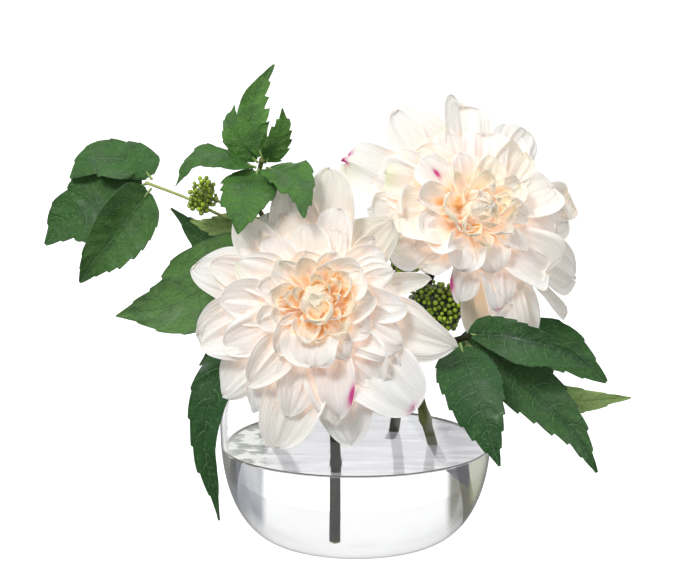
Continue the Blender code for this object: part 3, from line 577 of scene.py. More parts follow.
# Rings of petals, back ones first, each list clockwise from the ring's first petal. sway turns a petal from
# its even place and more adds to its reach; longer is what the ring gains towards one side, and that side's
# direction.
headRings = {
    "front_dahlia": [
        {"piece": "outer", "first": -14, "reach": 72, "rise": 1, "longer": (4, 175),
         "usual": {"level": 1, "width": 31, "bow": 7, "curl": -2, "cup": 0.3, "round": 2.1}, "petals": [
             dict(width=30, rise=3, curl=0, round=1.6, old=0.35),
             dict(sway=-12, more=7, width=29, round=2.3, old=0.55),
             dict(more=-8, sway=-6, rise=-4, width=30, bow=5, curl=0, cup=0.2, old=0.8),
             dict(more=-10, width=17, bow=5, curl=2, cup=1.3, round=1.7, old=0.3),
             dict(more=3, rise=-1, width=33, curl=-1, round=1.45, old=0.3),
             dict(rise=4, width=40, bow=9, curl=-3, cup=0.35, round=2.6, tipMark=0.9),
             dict(rise=-1, bow=8),
             dict(more=3, width=34, bow=9, curl=-3),
             dict(more=-5, width=30, bow=9, cup=0.35, round=2.3),
             dict(more=-6, width=33, rise=4, curl=-3, round=2.3),
             dict(width=33, rise=3, bow=8, cup=0.25, round=1.8, old=0.1),
             dict(more=-4, width=24, rise=5, cup=0.45, round=1.9, old=0.2),
         ]},
        {"piece": "outer", "first": 11, "reach": 59, "rise": 6, "longer": (7, 220),
         "usual": {"level": 1, "width": 27, "bow": 7, "curl": -2, "cup": 0.35, "round": 2.3}, "petals": [
             dict(rise=9, width=22, cup=0.4, round=2.7, warm=0.9),
             dict(more=-8, width=24, cup=0.6, round=2.5, warm=0.7),
             dict(more=-9, rise=8, bow=8, curl=-3, cup=0.4),
             dict(bow=8, curl=-3, round=2.4),
             dict(bow=8, curl=-3, width=28, round=2.2),
             dict(width=26, rise=3, bow=9, round=1.8),
             dict(width=30, rise=8, curl=-3, cup=0.3, round=2.4),
             dict(width=23, cup=0.5, round=1.9, old=0.2),
             dict(width=30, rise=5, round=2.6, old=0.15, rag=1.2),
         ]},
        {"piece": "middle", "first": 14, "reach": 49, "rise": 11, "longer": (7, 200),
         "usual": {"level": 5, "width": 23, "bow": 7, "curl": -3, "cup": 0.42, "round": 2.2}, "petals": [
             dict(width=17, bow=6, curl=-2, cup=0.5, warm=0.6),
             dict(more=4, rise=8, width=21, bow=5, curl=2, cup=1.5, round=2.0, old=0.3, warm=0.8),
             dict(warm=0.6),
             dict(width=21, cup=0.45, warm=0.8),
             dict(width=29, bow=8, curl=-4, cup=0.45, round=2.7, warm=0.8),
             dict(width=28, bow=8, rise=10, cup=0.35, round=2.3),
             dict(more=6, bow=9, cup=0.45, round=2.1, warm=0.8, blush=0.8, sideMark=1.0, markSide=-0.95),
             dict(more=5, rise=8, width=24, bow=9, cup=0.4, round=2.1, warm=0.6),
             dict(bow=9, curl=-5, cup=0.55, round=1.9),
             dict(width=25, cup=0.35, round=2.4),
             dict(width=26, rise=13, cup=0.4, round=2.3, warm=0.7),
             dict(width=24, rise=14, bow=6, curl=-2, cup=0.45, lime=0.5),
             dict(width=19, rise=10, curl=-2, cup=0.45, round=1.9),
             dict(width=27, rise=12, bow=6, curl=-2, cup=0.45, round=2.4),
         ]},
        {"piece": "inner", "first": -12, "reach": 31, "rise": 21, "longer": (3, 190),
         "usual": {"level": 9, "root": 5, "cream": 0.12, "deep": 0.5, "width": 21, "bow": 4, "curl": -3,
                   "cup": 0.65, "round": 2.3, "warm": 0.6}, "petals": [
             dict(width=25, bow=-1, curl=-2, cup=0.95, round=2.5),
             dict(rise=24, width=15, bow=-1, curl=-2, cup=0.8, warm=1.0),
             dict(width=29, rise=23, bow=3, curl=-4, cup=0.75, round=2.6, warm=0.8),
             dict(width=23, curl=-4, cup=0.6, warm=1.0),
             dict(cup=0.75, round=2.4, rise=19),
             dict(width=19, rise=19, bow=5, curl=-4, warm=1.0),
             dict(width=31, rise=22, bow=6, curl=-5, cup=0.55, round=3.0, warm=0.8),
             dict(width=20, rise=19, bow=5, curl=-4, cup=0.7),
             dict(width=20, rise=19, cup=0.55),
             dict(width=20, bow=3, cup=0.6, warm=0.8),
             dict(width=20, rise=24, bow=1, curl=-2, cup=0.7, lime=0.6),
         ]},
    ],
    "rear_dahlia": [
        {"piece": "outer", "first": 300, "reach": 70, "rise": 0, "longer": (7, 110),
         "usual": {"level": 1, "width": 32, "bow": 6, "curl": -2, "cup": 0.32, "round": 3.0, "widest": 0.7,
                   "rag": 1.3}, "petals": [
             dict(rise=1, more=13, width=30, cup=0.35, round=3.2, widest=0.74, tipMark=1.3, lime=0.5),
             dict(rise=3, more=8, width=42, bow=7, round=2.1, widest=0.48, rag=1.6, pinch=0.3),
             dict(rise=1, width=34, bow=7, cup=0.4, round=3.2, widest=0.66, rag=1.4),
             dict(width=26, bow=7, widest=0.74, rag=0.8),
             dict(rise=-6, width=24, bow=4, curl=0, round=4, widest=0.8, old=0.6),
             dict(rise=-4, width=28, curl=-1, old=0.25, rag=1.4),
             dict(rise=-3, width=26, curl=-1, round=2.2, widest=0.66, old=0.1),
             dict(more=-6, sway=-18, rise=-8, width=30, bow=5, curl=0, old=1.0),
             dict(more=-9, sway=26, rise=5, bow=7, lime=0.8, ruffle=2.2, cream=0.3, rag=1.4),
             dict(more=-3, sway=14, rise=7, width=26, bow=4, curl=0, cup=0.5, round=3.4, ruffle=1.8,
                  old=0.1),
         ]},
        {"piece": "outer", "first": 350, "reach": 64, "rise": 2, "longer": (6, 120),
         "usual": {"level": 1, "width": 25, "bow": 7, "curl": -2, "cup": 0.35, "round": 3.2,
                   "widest": 0.72}, "petals": [
             dict(width=20, cup=0.6, round=2.2, crease=1.2),
             dict(width=24, round=3.4, rag=0.8),
             dict(rise=-2, width=26, bow=5, curl=0, round=2.6, old=0.3, rag=1.4),
             dict(rise=-5, sway=-8, more=12, width=10, bow=4, curl=0, cup=1.0, widest=0.9, old=0.3),
             dict(rise=3, sway=-27, more=8, width=26, bow=9, curl=-3, cup=0.3, round=4.0, widest=0.78),
             dict(more=-16, sway=-8, rise=4, width=34, bow=8, curl=-3, cup=0.3, round=3.4, lime=0.15,
                  ruffle=2.4, rag=1.8, cream=0.3),
             dict(rise=6, width=28, cup=0.4, round=3.0, ruffle=1.8),
         ]},
        {"piece": "middle", "first": 300, "reach": 50, "rise": 10, "longer": (5, 110),
         "usual": {"level": 5, "width": 28, "bow": 7, "curl": -2, "cup": 0.42, "round": 3.2, "widest": 0.7,
                   "warm": 0.5}, "petals": [
             dict(more=9, width=31, bow=6, curl=-3, round=3.6, lime=0.8, ruffle=1.5),
             dict(rise=9, cup=0.6, round=2.8, widest=0.62, cream=0.3, crease=1.3),
             dict(rise=9, width=24, bow=6, cup=0.5, round=2.6, crease=1.4, warm=0.4),
             dict(round=4, rag=0.8, crease=1.2, blush=0.5),
             dict(rise=12, width=26, cup=0.35, rag=0.8, cream=0.35),
             dict(rise=15, bow=5, round=3.8, warm=0.7, cream=0.4, rag=1.2),
             dict(width=30, curl=-3, round=3.4, warm=0.6, blush=0.4),
             dict(rise=13, width=35, bow=9, curl=-4, cup=0.5, round=4, warm=1.0, cream=0.3),
             dict(rise=8, width=24, bow=8, curl=-3, cup=0.5, round=2.2, warm=0.3),
             dict(more=4, sway=-15, rise=11, width=25, bow=8, curl=-3, cup=0.45, round=2.4, warm=0.4,
                  blush=1.1, tipMark=1.2),
             dict(sway=-18, rise=8, width=18, cup=0.6, round=2.3, sideMark=1.0, blush=0.3),
             dict(more=-6, rise=8, width=20, bow=6, cup=0.5, round=2.6),
             dict(rise=14, width=34, bow=8, curl=-4, cup=0.5, round=3.6, warm=0.3, ruffle=2.6, rag=1.5,
                  cream=0.3),
         ]},
        {"piece": "inner", "first": 282, "reach": 35, "rise": 19, "longer": (3, 250),
         "usual": {"level": 9, "root": 5, "cream": 0.12, "deep": 0.5, "width": 22, "bow": 4, "curl": -3,
                   "cup": 0.6, "round": 2.7, "warm": 0.7}, "petals": [
             dict(rise=24, width=26, bow=1, cup=1.25, round=2.8, warm=1, deep=0.9, rag=1.4),
             dict(more=6, rise=17, width=26, round=2.9, warm=0.3, spot=1.6, widest=0.66),
             dict(rise=18, width=20, bow=3, round=2.6, blush=1.2),
             dict(rise=22, width=20, bow=3, round=2.8, warm=0.8, cream=0.7),
             dict(rise=21, width=20, bow=3, round=2.6, lime=0.3, warm=0.8, cream=0.8),
             dict(width=18, bow=5, curl=-4, cup=1.0, round=2.0, warm=0.8),
             dict(rise=22, width=15, curl=-4, cup=1.1, round=1.8, warm=0.5),
             dict(width=25, bow=6, curl=-4, round=2.6, warm=0.6),
             dict(width=25, bow=6, curl=-4, cup=0.7, round=2.8, widest=0.66, warm=0.6, ruffle=2.6,
                  crease=1.1),
             dict(width=30, bow=5, curl=-4, cup=0.7, round=3, widest=0.66, warm=0.9, ruffle=2.6,
                  crease=1.2, rag=1.3),
         ]},
    ],
}


# Leaves. half is the half width in millimetres; left and right are each side's share of it and the place
# along the blade where that side is widest; teeth and bite are the number and depth of its teeth on each
# side.
leafPlan = {
    "left": (1.0, 0.36), "right": (1.0, 0.36), "full": 1.1, "blade": 0.04,
    "teeth": 7, "bite": (1.0, 1.0), "fold": 10, "curl": 0, "quilt": 0.45, "wave": 1.5, "thickness": 0.35,
    "stalk": 0.8, "tone": 0.3, "dull": 0.0, "pale": 0.0, "crease": 0.15, "veins": 7,
}


def smoothRoute(points, steps):
    points = np.array(points, float)
    ends = np.vstack([2 * points[0] - points[1], points, 2 * points[-1] - points[-2]])
    t = np.linspace(0, 1, steps, endpoint=False)[:, None]
    parts = [0.5 * (2 * b + (c - a) * t + (2 * a - 5 * b + 4 * c - d) * t ** 2
                    + (3 * b - a - 3 * c + d) * t ** 3)
             for a, b, c, d in zip(ends, ends[1:], ends[2:], ends[3:])]
    return np.vstack(parts + [points[-1:]])


def nodeNet(node):
    # the frame's piece as points, and for each point its neighbours with their distances
    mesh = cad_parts[node].data
    corners = np.array([vertex.co for vertex in mesh.vertices], float)
    points, same = np.unique(corners.round(5), axis=0, return_inverse=True)
    same = same.ravel()
    edges = {tuple(sorted((same[a], same[b]))) for a, b in (edge.vertices for edge in mesh.edges)}
    edges = np.array([edge for edge in edges if edge[0] != edge[1]])
    near = [[] for _ in points]
    for a, b in edges:
        gap = np.linalg.norm(points[a] - points[b])
        near[a].append((b, gap))
        near[b].append((a, gap))
    return points, edges, near


def walkedFrom(start, near):
    walked = np.full(len(near), np.inf)
    walked[start] = 0
    queue = [(0.0, start)]
    while queue:
        gone, here = heapq.heappop(queue)
        for there, gap in near[here]:
            if gone + gap < walked[there]:
                walked[there] = gone + gap
                heapq.heappush(queue, (gone + gap, there))
    return np.where(np.isinf(walked), 0, walked)


def middleLine(node, carrier, slices):
    # the middle of a long piece, cut into slices by the way walked over it from the end that its carrier
    # holds
    points, edges, near = nodeNet(node)
    first = int(np.argmax(walkedFrom(0, near)))
    last = int(np.argmax(walkedFrom(first, near)))
    if carrier:
        held = nodePoints(carrier)
        room = [np.linalg.norm(held - points[end], axis=1).min() for end in (first, last)]
    else:
        room = [points[end][2] for end in (first, last)]
    start = first if room[0] <= room[1] else last
    walked = walkedFrom(start, near)
    # ten places on every edge stand for the surface, each as heavy as its edge is long
    share = np.linspace(0.05, 0.95, 10)[:, None, None]
    spread = (points[edges[:, 0]] * (1 - share) + points[edges[:, 1]] * share).reshape(-1, 3)
    gone = (walked[edges[:, 0]] * (1 - share[..., 0]) + walked[edges[:, 1]] * share[..., 0]).ravel()
    weight = np.tile(np.linalg.norm(points[edges[:, 0]] - points[edges[:, 1]], axis=1), 10)
    bins = np.clip((gone / gone.max() * slices).astype(int), 0, slices - 1)
    line = [np.average(spread[bins == k], axis=0, weights=weight[bins == k]) for k in range(slices)]
    return np.vstack([line[0] * 1.5 - line[1] * 0.5, line, line[-1] * 1.5 - line[-2] * 0.5])


def alongRoute(route, shares):
    run = np.concatenate([[0], np.cumsum(np.linalg.norm(np.diff(route, axis=0), axis=1))])
    places = np.asarray(shares) * run[-1]
    return np.stack([np.interp(places, run, route[:, k]) for k in range(3)], axis=1)


def leafEdge(plan, key, bite, steps, dice):
    # one side's half width, and how far its teeth stand out from it
    size, widest = plan[key]
    teeth = plan["teeth"]
    swell = np.sin(math.pi * steps ** (math.log(0.5) / math.log(widest))) ** plan["full"]
    half = plan["half"] * size * swell + mixed((plan["stalk"], 0.25), steps)
    half = np.convolve(np.pad(half, 2, mode="edge"), (0.1, 0.2, 0.4, 0.2, 0.1), mode="valid")
    depth = np.append(np.repeat(dice.uniform(0.6, 1.3, teeth), len(toothSteps)), 0)
    depth = depth * np.clip(steps * 6, 0, 1) * np.clip((1 - steps) * 5, 0, 1)
    return half, bite * depth * ((steps * teeth) % 1 - 0.45) * np.clip(half / 4, 0, 1)


def leafWaves(plan, s, u, reach, half, dice):
    # what stands off the folded blade: the curl, cushions between the veins and waves that grow to the edge
    side = u[None, :]
    waves = half * plan["curl"] * reach ** 2.5
    vein = (s * plan["veins"] - reach * 1.1 + 0.35 * np.sign(side)) * 2 * math.pi
    cushion = np.cos(vein) * np.sin(math.pi * np.clip(reach, 0, 1)) * np.clip(half / 6, 0, 1)
    waves = waves + plan["quilt"] * cushion
    roll = dice.uniform(0, 6.3, 4)
    slow = reach ** 1.6 * np.sin(s * 8 + roll[0] + side * 1.4) * np.clip(half / 8, 0, 1)
    quick = 0.4 * reach ** 3 * np.sin(s * 21 + roll[1] + 2 * side)
    return waves + plan["wave"] * slow + plan["wave"] * quick


toothSteps = np.array([0.0, 0.25, 0.5, 0.72, 0.9])
leafColumns = 15


def leafSheet(node, carrier, plan, dice):
    plan = {**leafPlan, **plan}
    teeth = plan["teeth"]
    whole = smoothRoute(middleLine(node, carrier, 7), 12)
    blade = alongRoute(whole, np.linspace(plan["blade"], 1, 80))
    steps = np.append((np.arange(teeth)[:, None] + toothSteps).ravel() / teeth, 1.0)
    middle = alongRoute(blade, steps) * 1000
    way = unit(np.gradient(middle, axis=0))
    side = unit(np.cross(way, np.array(plan["face"], float)))
    u = np.linspace(-1, 1, leafColumns)
    u = np.sign(u) * np.abs(u) ** 0.9
    edges = [leafEdge(plan, key, bite, steps, dice) for key, bite in zip(("left", "right"), plan["bite"])]
    half, tooth = (np.where(u[None, :] < 0, left[:, None], right[:, None]) for left, right in zip(*edges))
    reach = np.abs(u)[None, :]
    s = steps[:, None]
    tilt = math.radians(plan["fold"])
    across = np.sign(u)[None, :] * (half * reach * math.cos(tilt) + tooth * reach ** 3)
    raised = half * math.sin(tilt) * (np.sqrt(reach ** 2 + 0.02) - 0.14)
    off = raised + leafWaves(plan, s, u, reach, half, dice)
    # the teeth lean towards the tip, and the foot of the blade reaches back round its stalk
    foot = 0.12 * half * reach ** 1.5 * (s < 0.3) * (0.3 - s) * 3
    forward = np.clip(tooth, 0, 9) * reach ** 3 * 1.1 - foot
    grid = sheetPoints(middle, way, side, np.cross(side, way), forward, across, off) / 1000
    points, faces = gridShell(grid, plan["thickness"] / 1000)
    u, s, half = (np.broadcast_to(value, grid.shape[:2]).ravel() for value in (u, s, half / 20))
    values = {name: np.tile(value, 2) for name, value in {"u": u, "v": s, "half": half}.items()}
    values["under"] = np.repeat([0.0, 1.0], len(u))
    values.update(everywhere(points, **{name: plan[name] for name in ("tone", "dull", "pale", "crease")}))
    hold = alongRoute(whole, np.linspace(0, plan["blade"] + 0.06, 12))
    stalk = tubeSheet(hold * 1000, (0.8, 0.75, 0.7, 0.35), 8)
    stalk["values"] = everywhere(stalk["points"], **{**dict.fromkeys(values, 0), "v": 0.5, "pale": 1})
    return [{"points": points, "faces": faces, "values": values}, stalk]


def tubeSheet(route, radii, sides):
    # a round tube with closed ends along a route in millimetres
    count = len(route)
    way = unit(np.gradient(route, axis=0))
    radius = np.interp(np.linspace(0, 1, count), np.linspace(0, 1, len(radii)), radii)
    turn = (np.arange(sides) * 2 * math.pi / sides)[:, None]
    across = unit(np.cross(way[0], (0.31, 0.83, 0.46)))
    rings = []
    for k in range(count):
        across = unit(across - way[k] * (across @ way[k]))
        beside = np.cross(way[k], across)
        rings.append(route[k] + radius[k] * (across * np.cos(turn) + beside * np.sin(turn)))
    ends = [route[:1] - way[:1] * radii[0] * 0.5, route[-1:] + way[-1:] * radii[-1] * 0.8]
    return {"points": np.vstack(rings + ends) / 1000, "faces": ringFaces(count, sides), "values": {}}


leafFinish = {
    "dark": (0.011, 0.058, 0.017, 1), "bright": (0.077, 0.215, 0.018, 1), "dull": (0.13, 0.25, 0.088, 1),
    "pale": (0.25, 0.36, 0.12, 1), "vein": (0.15, 0.30, 0.12, 1), "under": (0.12, 0.24, 0.08, 1),
    "hollow": (0.006, 0.032, 0.012, 1), "rim": (0.02, 0.07, 0.02, 1),
}


def makeLeafFinish(plan=leafFinish):
    fixed = {"Specular IOR Level": 0.22, "Coat Roughness": 0.32}
    material, shader, wire = newFinish("leafCloth", plan["bright"], fixed)
    uv = sheetPlace(wire)
    across = uv.part("X") * 2 - 1
    place = objectPlace(wire)
    blotch = place.noise(90, 4, 0.6)
    crinkle = place.noise(520, 3, 0.6)
    reach = across.size()
    middle = reach * attribute(wire, "half")
    crease = (1 - middle.smooth(0.0, 0.16)) * attribute(wire, "crease")
    midVein = 1 - middle.smooth(0.003, 0.018)
    row = uv.part("Y") * leafPlan["veins"]
    phase = (row - reach * reach * 0.9 + 0.35 * across.maths("SIGN", across)).fract()
    away = (phase - 0.5).size()
    sideVein = (1 - away.smooth(0.0, 0.05)) * 0.8 * (1 - reach.smooth(0.45, 0.98))
    valleyShade = (1 - away.smooth(0.03, 0.2)) * 0.14
    veins = midVein.most(sideVein)
    colour = attribute(wire, "tone").blend(plan["dark"], plan["bright"])
    colour = (attribute(wire, "dull") * (blotch * 1.3 + 0.2)).blend(colour, plan["dull"])
    # darker random blotches, and painted shade in the valleys between the side veins
    colour = (blotch.smooth(0.42, 0.68) * 0.45 + valleyShade * 0.5).blend(colour, plan["hollow"])
    # painted shade along the middle of the leaf, where its fold lies in shadow
    colour = (crease * 0.8).blend(colour, plan["hollow"])
    colour = (crinkle.smooth(0.5, 0.72) * 0.35).blend(colour, plan["dull"])
    colour = (veins * (blotch * 0.7 + 0.15)).blend(colour, plan["vein"])
    colour = (reach.smooth(0.94, 1.0) * 0.6).blend(colour, plan["rim"])
    colour = (attribute(wire, "under") * 0.8).blend(colour, plan["under"])
    colour = attribute(wire, "pale").blend(colour, plan["pale"])
    normal = (veins * -0.5 + crinkle * 0.9 + blotch * 1.6).bump(0.0012, 0.75)
    shine = place.noise(45).smooth(0.48, 0.66) * 0.35
    join(shader, colour=colour, roughness=0.36 + crinkle * 0.25, normal=normal, coat=shine)
    return material


leaves = {
    "far_left_stalk": {
        "far_left_leaf_upper": dict(
            half=15, face=(-0.1, -0.8, 1), full=0.8, bite=(0.0, 0.9), fold=8, curl=-0.10, dull=0.05),
        "far_left_leaf_outer": dict(
            half=20, face=(-0.5, -1, 0.4), full=0.8, teeth=8, bite=(0.8, 0.8), fold=8, dull=0.08),
        "far_left_leaf_inner": dict(
            half=17, face=(0.5, -1, 0.3), full=0.8, right=(1.0, 0.3), teeth=9, bite=(1.3, 0.3), fold=24,
            tone=0.4, dull=0.3, crease=0.4),
    },
    "left_branch": {
        "top_leaf_tall": dict(
            half=8, face=(0.2, -1, 0.1), teeth=6, bite=(0.0, 2.4), fold=12, tone=1.0, dull=0.4),
        "top_leaf_left": dict(
            half=7, face=(-0.3, -1, 0.1), teeth=8, bite=(0.8, 1.0), fold=12, tone=0.75, dull=0.05),
        "top_leaf_right": dict(half=7, face=(0.4, -1, 0.1), teeth=6, bite=(1.8, 1.8), tone=1.0, dull=0.45),
        "top_leaf_bent": dict(
            half=8.5, face=(-0.1, -0.6, 1), teeth=8, bite=(0.5, 0.8), fold=4, curl=-0.15, tone=0.45,
            dull=0.08),
        "top_leaf_lower": dict(
            half=15, face=(-0.1, -1, 0.7), teeth=6, bite=(1.2, 2.2), fold=8, tone=0.6, dull=0.2),
        "top_leaf_low_right": dict(
            half=13, face=(0.4, -1, 0.8), teeth=6, bite=(1.2, 1.6), fold=14, tone=0.62, dull=0.3),
        "dark_left_leaf": dict(
            half=13, face=(-0.3, -1, -0.1), blade=0.20, bite=(0.4, 1.0), fold=6, tone=0.12, dull=0.4),
        "pale_left_leaf": dict(
            half=8, face=(0, -1, 0.6), blade=0.12, bite=(1.2, 1.0), fold=6, tone=1.0, pale=1.0, dull=0.3),
        "broad_left_leaf": dict(
            half=27, face=(-0.1, -1, 0.25), blade=0.12, teeth=10, bite=(0.5, 0.8), fold=12, tone=0.75,
            dull=0.7),
        "small_left_leaf": dict(
            half=8, face=(-0.3, -1, 0.1), blade=0.42, teeth=4, bite=(0.3, 0.3), fold=8, tone=0.1,
            dull=0.35),
        "hanging_leaf": dict(
            half=12, face=(-0.5, -1, 0), blade=0.34, teeth=9, bite=(0.0, 1.4), fold=14, tone=0.12,
            dull=0.02, crease=0.5),
    },
    "right_branch": {
        "right_leaf_upper": dict(
            half=17, face=(0.1, -1, 0.5), left=(0.6, 0.2), right=(0.95, 0.5), blade=0.0, teeth=11,
            bite=(1.0, 0.5), fold=26, tone=0.12, dull=0.15, crease=0.9),
        "right_leaf_back": dict(
            half=18, face=(0.2, -1, 0.3), full=0.8, left=(1.0, 0.45), blade=0.16, teeth=9, tone=0.2,
            dull=0.1),
        "right_leaf_front": dict(
            half=19, face=(0.1, -1, 0.2), left=(0.75, 0.4), teeth=9, bite=(1.3, 1.5), fold=12, tone=0.1,
            dull=0.06, crease=0.3),
        "right_leaf_low": dict(
            half=16, face=(0.3, -1, 0.3), teeth=9, bite=(1.4, 1.4), fold=20, tone=0.15, dull=0.25,
            crease=0.7),
        "right_leaf_pale": dict(
            half=7.5, face=(0, -1, 0.2), blade=0.38, teeth=5, bite=(0.3, 0.6), fold=8, tone=0.7, pale=0.8,
            dull=0.7),
        "right_leaf_small": dict(
            half=6, face=(-0.2, -1, 0.2), teeth=4, bite=(0.5, 0.5), fold=8, tone=0.9, pale=0.9),
    },
}


def makeLeaves(finish):
    hung = [(node, carrier, plan) for carrier, ones in leaves.items() for node, plan in ones.items()]
    for k, (node, carrier, plan) in enumerate(hung):
        sheets = leafSheet(node, carrier, plan, np.random.default_rng(50 + k))
        points, faces, values = gather(sheets)
        piece = addPiece(pieceName(node), points, faces, values, finish)
        install(piece, "pale_leaf" if "pale" in node else "leaf", [node])


# Stems and stalks follow the middle of the frame's pieces; radii in millimetres, nodes as shares of the
# length
stemPlans = {
    "front_dahlia_stem": dict(slices=9, radii=(2.9, 2.8, 2.7, 2.8, 3.0), nodes=(0.31, 0.62), finish="woody"),
    "rear_dahlia_stem": dict(slices=9, radii=(3.0, 3.0, 3.1, 3.0, 3.0), nodes=(0.4, 0.7), finish="woody"),
    "left_branch": dict(
        slices=16, radii=(3.0, 2.8, 2.3, 1.9, 1.5, 1.2), nodes=(0.22, 0.33, 0.41, 0.5, 0.66, 0.8, 1.0),
        swell=0.42, finish="green"),
    "right_branch": dict(
        slices=12, radii=(3.1, 2.9, 2.6, 2.2, 1.9, 1.6), nodes=(0.3, 0.62, 0.8, 1.0), finish="woody"),
    "far_left_stalk": dict(
        on="left_branch", slices=6, radii=(1.3, 0.9, 0.8, 0.9), nodes=(1.0,), finish="pale"),
    "left_berry_stalk": dict(on="left_branch", slices=4, radii=(1.0, 0.7), nodes=(), finish="pale"),
    "middle_berry_stalk": dict(on="left_branch", slices=4, radii=(1.0, 0.8), nodes=(), finish="pale"),
    "right_berry_stalk": dict(on="right_branch", slices=4, radii=(1.3, 1.0), nodes=(), finish="pale"),
}

stemFinish = {
    "woody": ((0.006, 0.007, 0.003, 1), (0.036, 0.038, 0.016, 1)),
    "green": ((0.055, 0.065, 0.018, 1), (0.19, 0.215, 0.075, 1)),
    "pale": ((0.34, 0.42, 0.12, 1), (0.56, 0.63, 0.28, 1)),
}
cutEnd = 2.5


def makeStemFinish(name, plan):
    material, shader, wire = newFinish(name + "Stem", plan[1], {"Specular IOR Level": 0.1})
    streaks = sheetPlace(wire).stretched((9, 1.5, 1)).noise(5, 4, 0.6)
    specks = objectPlace(wire).noise(700)
    node = attribute(wire, "node")
    colour = (streaks.smooth(0.35, 0.7) + node * 0.6).blend(plan[0], plan[1])
    colour = (specks.smooth(0.62, 0.7) * 0.5).blend(colour, plan[1])
    colour = node.smooth(1.2, 2.2).blend(colour, (0.30, 0.40, 0.16, 1))
    height = streaks * 0.8 + specks * 0.2
    join(shader, colour=colour, roughness=0.35 + streaks * 0.3, normal=height.bump(0.0006, 0.6))
    return material


def makeStems(finishes, rows=70, sides=16):
    share = np.linspace(0, 1, rows)
    for node, plan in stemPlans.items():
        line = middleLine(node, plan.get("on"), plan["slices"])
        route = alongRoute(smoothRoute(line, 10) * 1000, share)
        radii = np.interp(share, np.linspace(0, 1, len(plan["radii"])), plan["radii"])
        swell = sum((np.exp(-((share - place) / 0.012) ** 2) for place in plan["nodes"]), np.zeros(rows))
        dice = np.random.default_rng(len(node))
        radii = radii * (1 + plan.get("swell", 0.28) * swell) + dice.uniform(-0.04, 0.04, rows)
        tube = tubeSheet(route, tuple(radii), sides)
        swell[0] = cutEnd
        tube["values"] = {"u": np.append(np.tile(np.linspace(-1, 1, sides), rows), [0, 0]),
                          "v": np.append(np.repeat(share, sides), [0, 1]),
                          "node": np.append(np.repeat(swell, sides), [cutEnd, 0])}
        sheets = [tube] + (stemHairs(route, dice) if node == "front_dahlia_stem" else [])
        points, faces, values = gather(sheets)
        piece = addPiece(pieceName(node), points, faces, values, finishes[plan["finish"]])
        install(piece, "stem" if plan["finish"] == "woody" else "green_stem", [node])


def stemHairs(route, dice):
    # the fine short hairs that stand out from a stem beside its node
    sheets = []
    for _ in range(14):
        place = alongRoute(route, [dice.uniform(0.27, 0.36)])[0]
        turn = dice.uniform(0, 6.3)
        out = np.array([math.cos(turn), math.sin(turn), 0.2])
        hair = tubeSheet(np.array([place + out * far for far in (2.4, 3.5, 4.3)]), (0.22, 0.05), 5)
        hair["values"] = everywhere(hair["points"], u=0, v=0, node=1)
        sheets.append(hair)
    return sheets


# Sizes of the berries in millimetres; tufts are the balls that carry them, and tuft the share of the
# cluster's size that each has; core is the share of the darker ball inside, and stalks show between the
# berries of one cluster
berryPlans = {
    "left_berries": {"distance": 2.1, "radius": 1.35, "seed": 4, "core": 0.5, "tufts": 20, "tuft": 0.30,
                     "stalks": True},
    "middle_berries": {"distance": 2.5, "radius": 1.55, "seed": 5, "core": 0.85, "tufts": 34, "tuft": 0.34},
    "right_berries": {"distance": 2.5, "radius": 1.55, "seed": 6, "core": 0.85, "tufts": 34, "tuft": 0.34,
                      "grow": 1.14, "shift": (-0.001, 0, -0.004)},
}


# From the least to the most: how far a berry stands out of its tuft in radii, its size and how light it is
berryChances = {"depth": (-0.6, 0.9), "size": (0.62, 1.2), "tone": (0.35, 1.0)}


def chance(wire, between, seed):
    inputs = {2: between[0], 3: between[1], "Seed": seed}
    return wire.node("FunctionNodeRandomValue", {"data_type": "FLOAT"}, inputs, 1)


def makeBerryTree(material):
    # round berries of slightly different sizes over a surface, each with its own shade
    tree = bpy.data.node_groups.new("berries", "GeometryNodeTree")
    face = tree.interface
    face.new_socket("Geometry", in_out="INPUT", socket_type="NodeSocketGeometry")
    for name in ("Distance", "Radius"):
        face.new_socket(name, in_out="INPUT", socket_type="NodeSocketFloat")
    face.new_socket("Seed", in_out="INPUT", socket_type="NodeSocketInt")
    face.new_socket("Geometry", in_out="OUTPUT", socket_type="NodeSocketGeometry")
    start = tree.nodes.new("NodeGroupInput")
    end = tree.nodes.new("NodeGroupOutput")
    wires = {name: Wire(tree, start.outputs[name]) for name in ("Geometry", "Distance", "Radius", "Seed")}
    make = wires["Geometry"].node
    points = make("GeometryNodeDistributePointsOnFaces", {"distribute_method": "POISSON"}, {
        "Mesh": wires["Geometry"], "Distance Min": wires["Distance"], "Density Max": 4e5,
        "Seed": wires["Seed"]})
    away = Wire(tree, points.socket.node.outputs["Normal"])
    depth = chance(away, berryChances["depth"], wires["Seed"])
    shift = make("ShaderNodeVectorMath", {"operation": "SCALE"}, {0: away, "Scale": depth * wires["Radius"]})
    moved = make("GeometryNodeSetPosition", {}, {"Geometry": points, "Offset": shift})
    berry = make("GeometryNodeMeshIcoSphere", {}, {"Radius": 1.0, "Subdivisions": 2})
    berry = make("GeometryNodeSetShadeSmooth", {}, {"Geometry": berry})
    size = chance(berry, berryChances["size"], 9)
    spun = make("FunctionNodeRandomValue", {"data_type": "FLOAT_VECTOR"}, {1: (6.3, 6.3, 6.3), "Seed": 2})
    turned = make("FunctionNodeEulerToRotation", {}, {0: spun})
    placed = make("GeometryNodeInstanceOnPoints", {}, {
        "Points": moved, "Instance": berry, "Rotation": turned, "Scale": size * wires["Radius"]})
    tone = chance(placed, berryChances["tone"], 3)
    toned = make("GeometryNodeStoreNamedAttribute", {"data_type": "FLOAT", "domain": "INSTANCE"}, {
        "Geometry": placed, "Name": "tone", "Value": tone})
    real = make("GeometryNodeRealizeInstances", {}, {"Geometry": toned})
    done = make("GeometryNodeSetMaterial", {}, {"Geometry": real, "Material": material})
    tree.links.new(done.socket, end.inputs["Geometry"])
    return tree


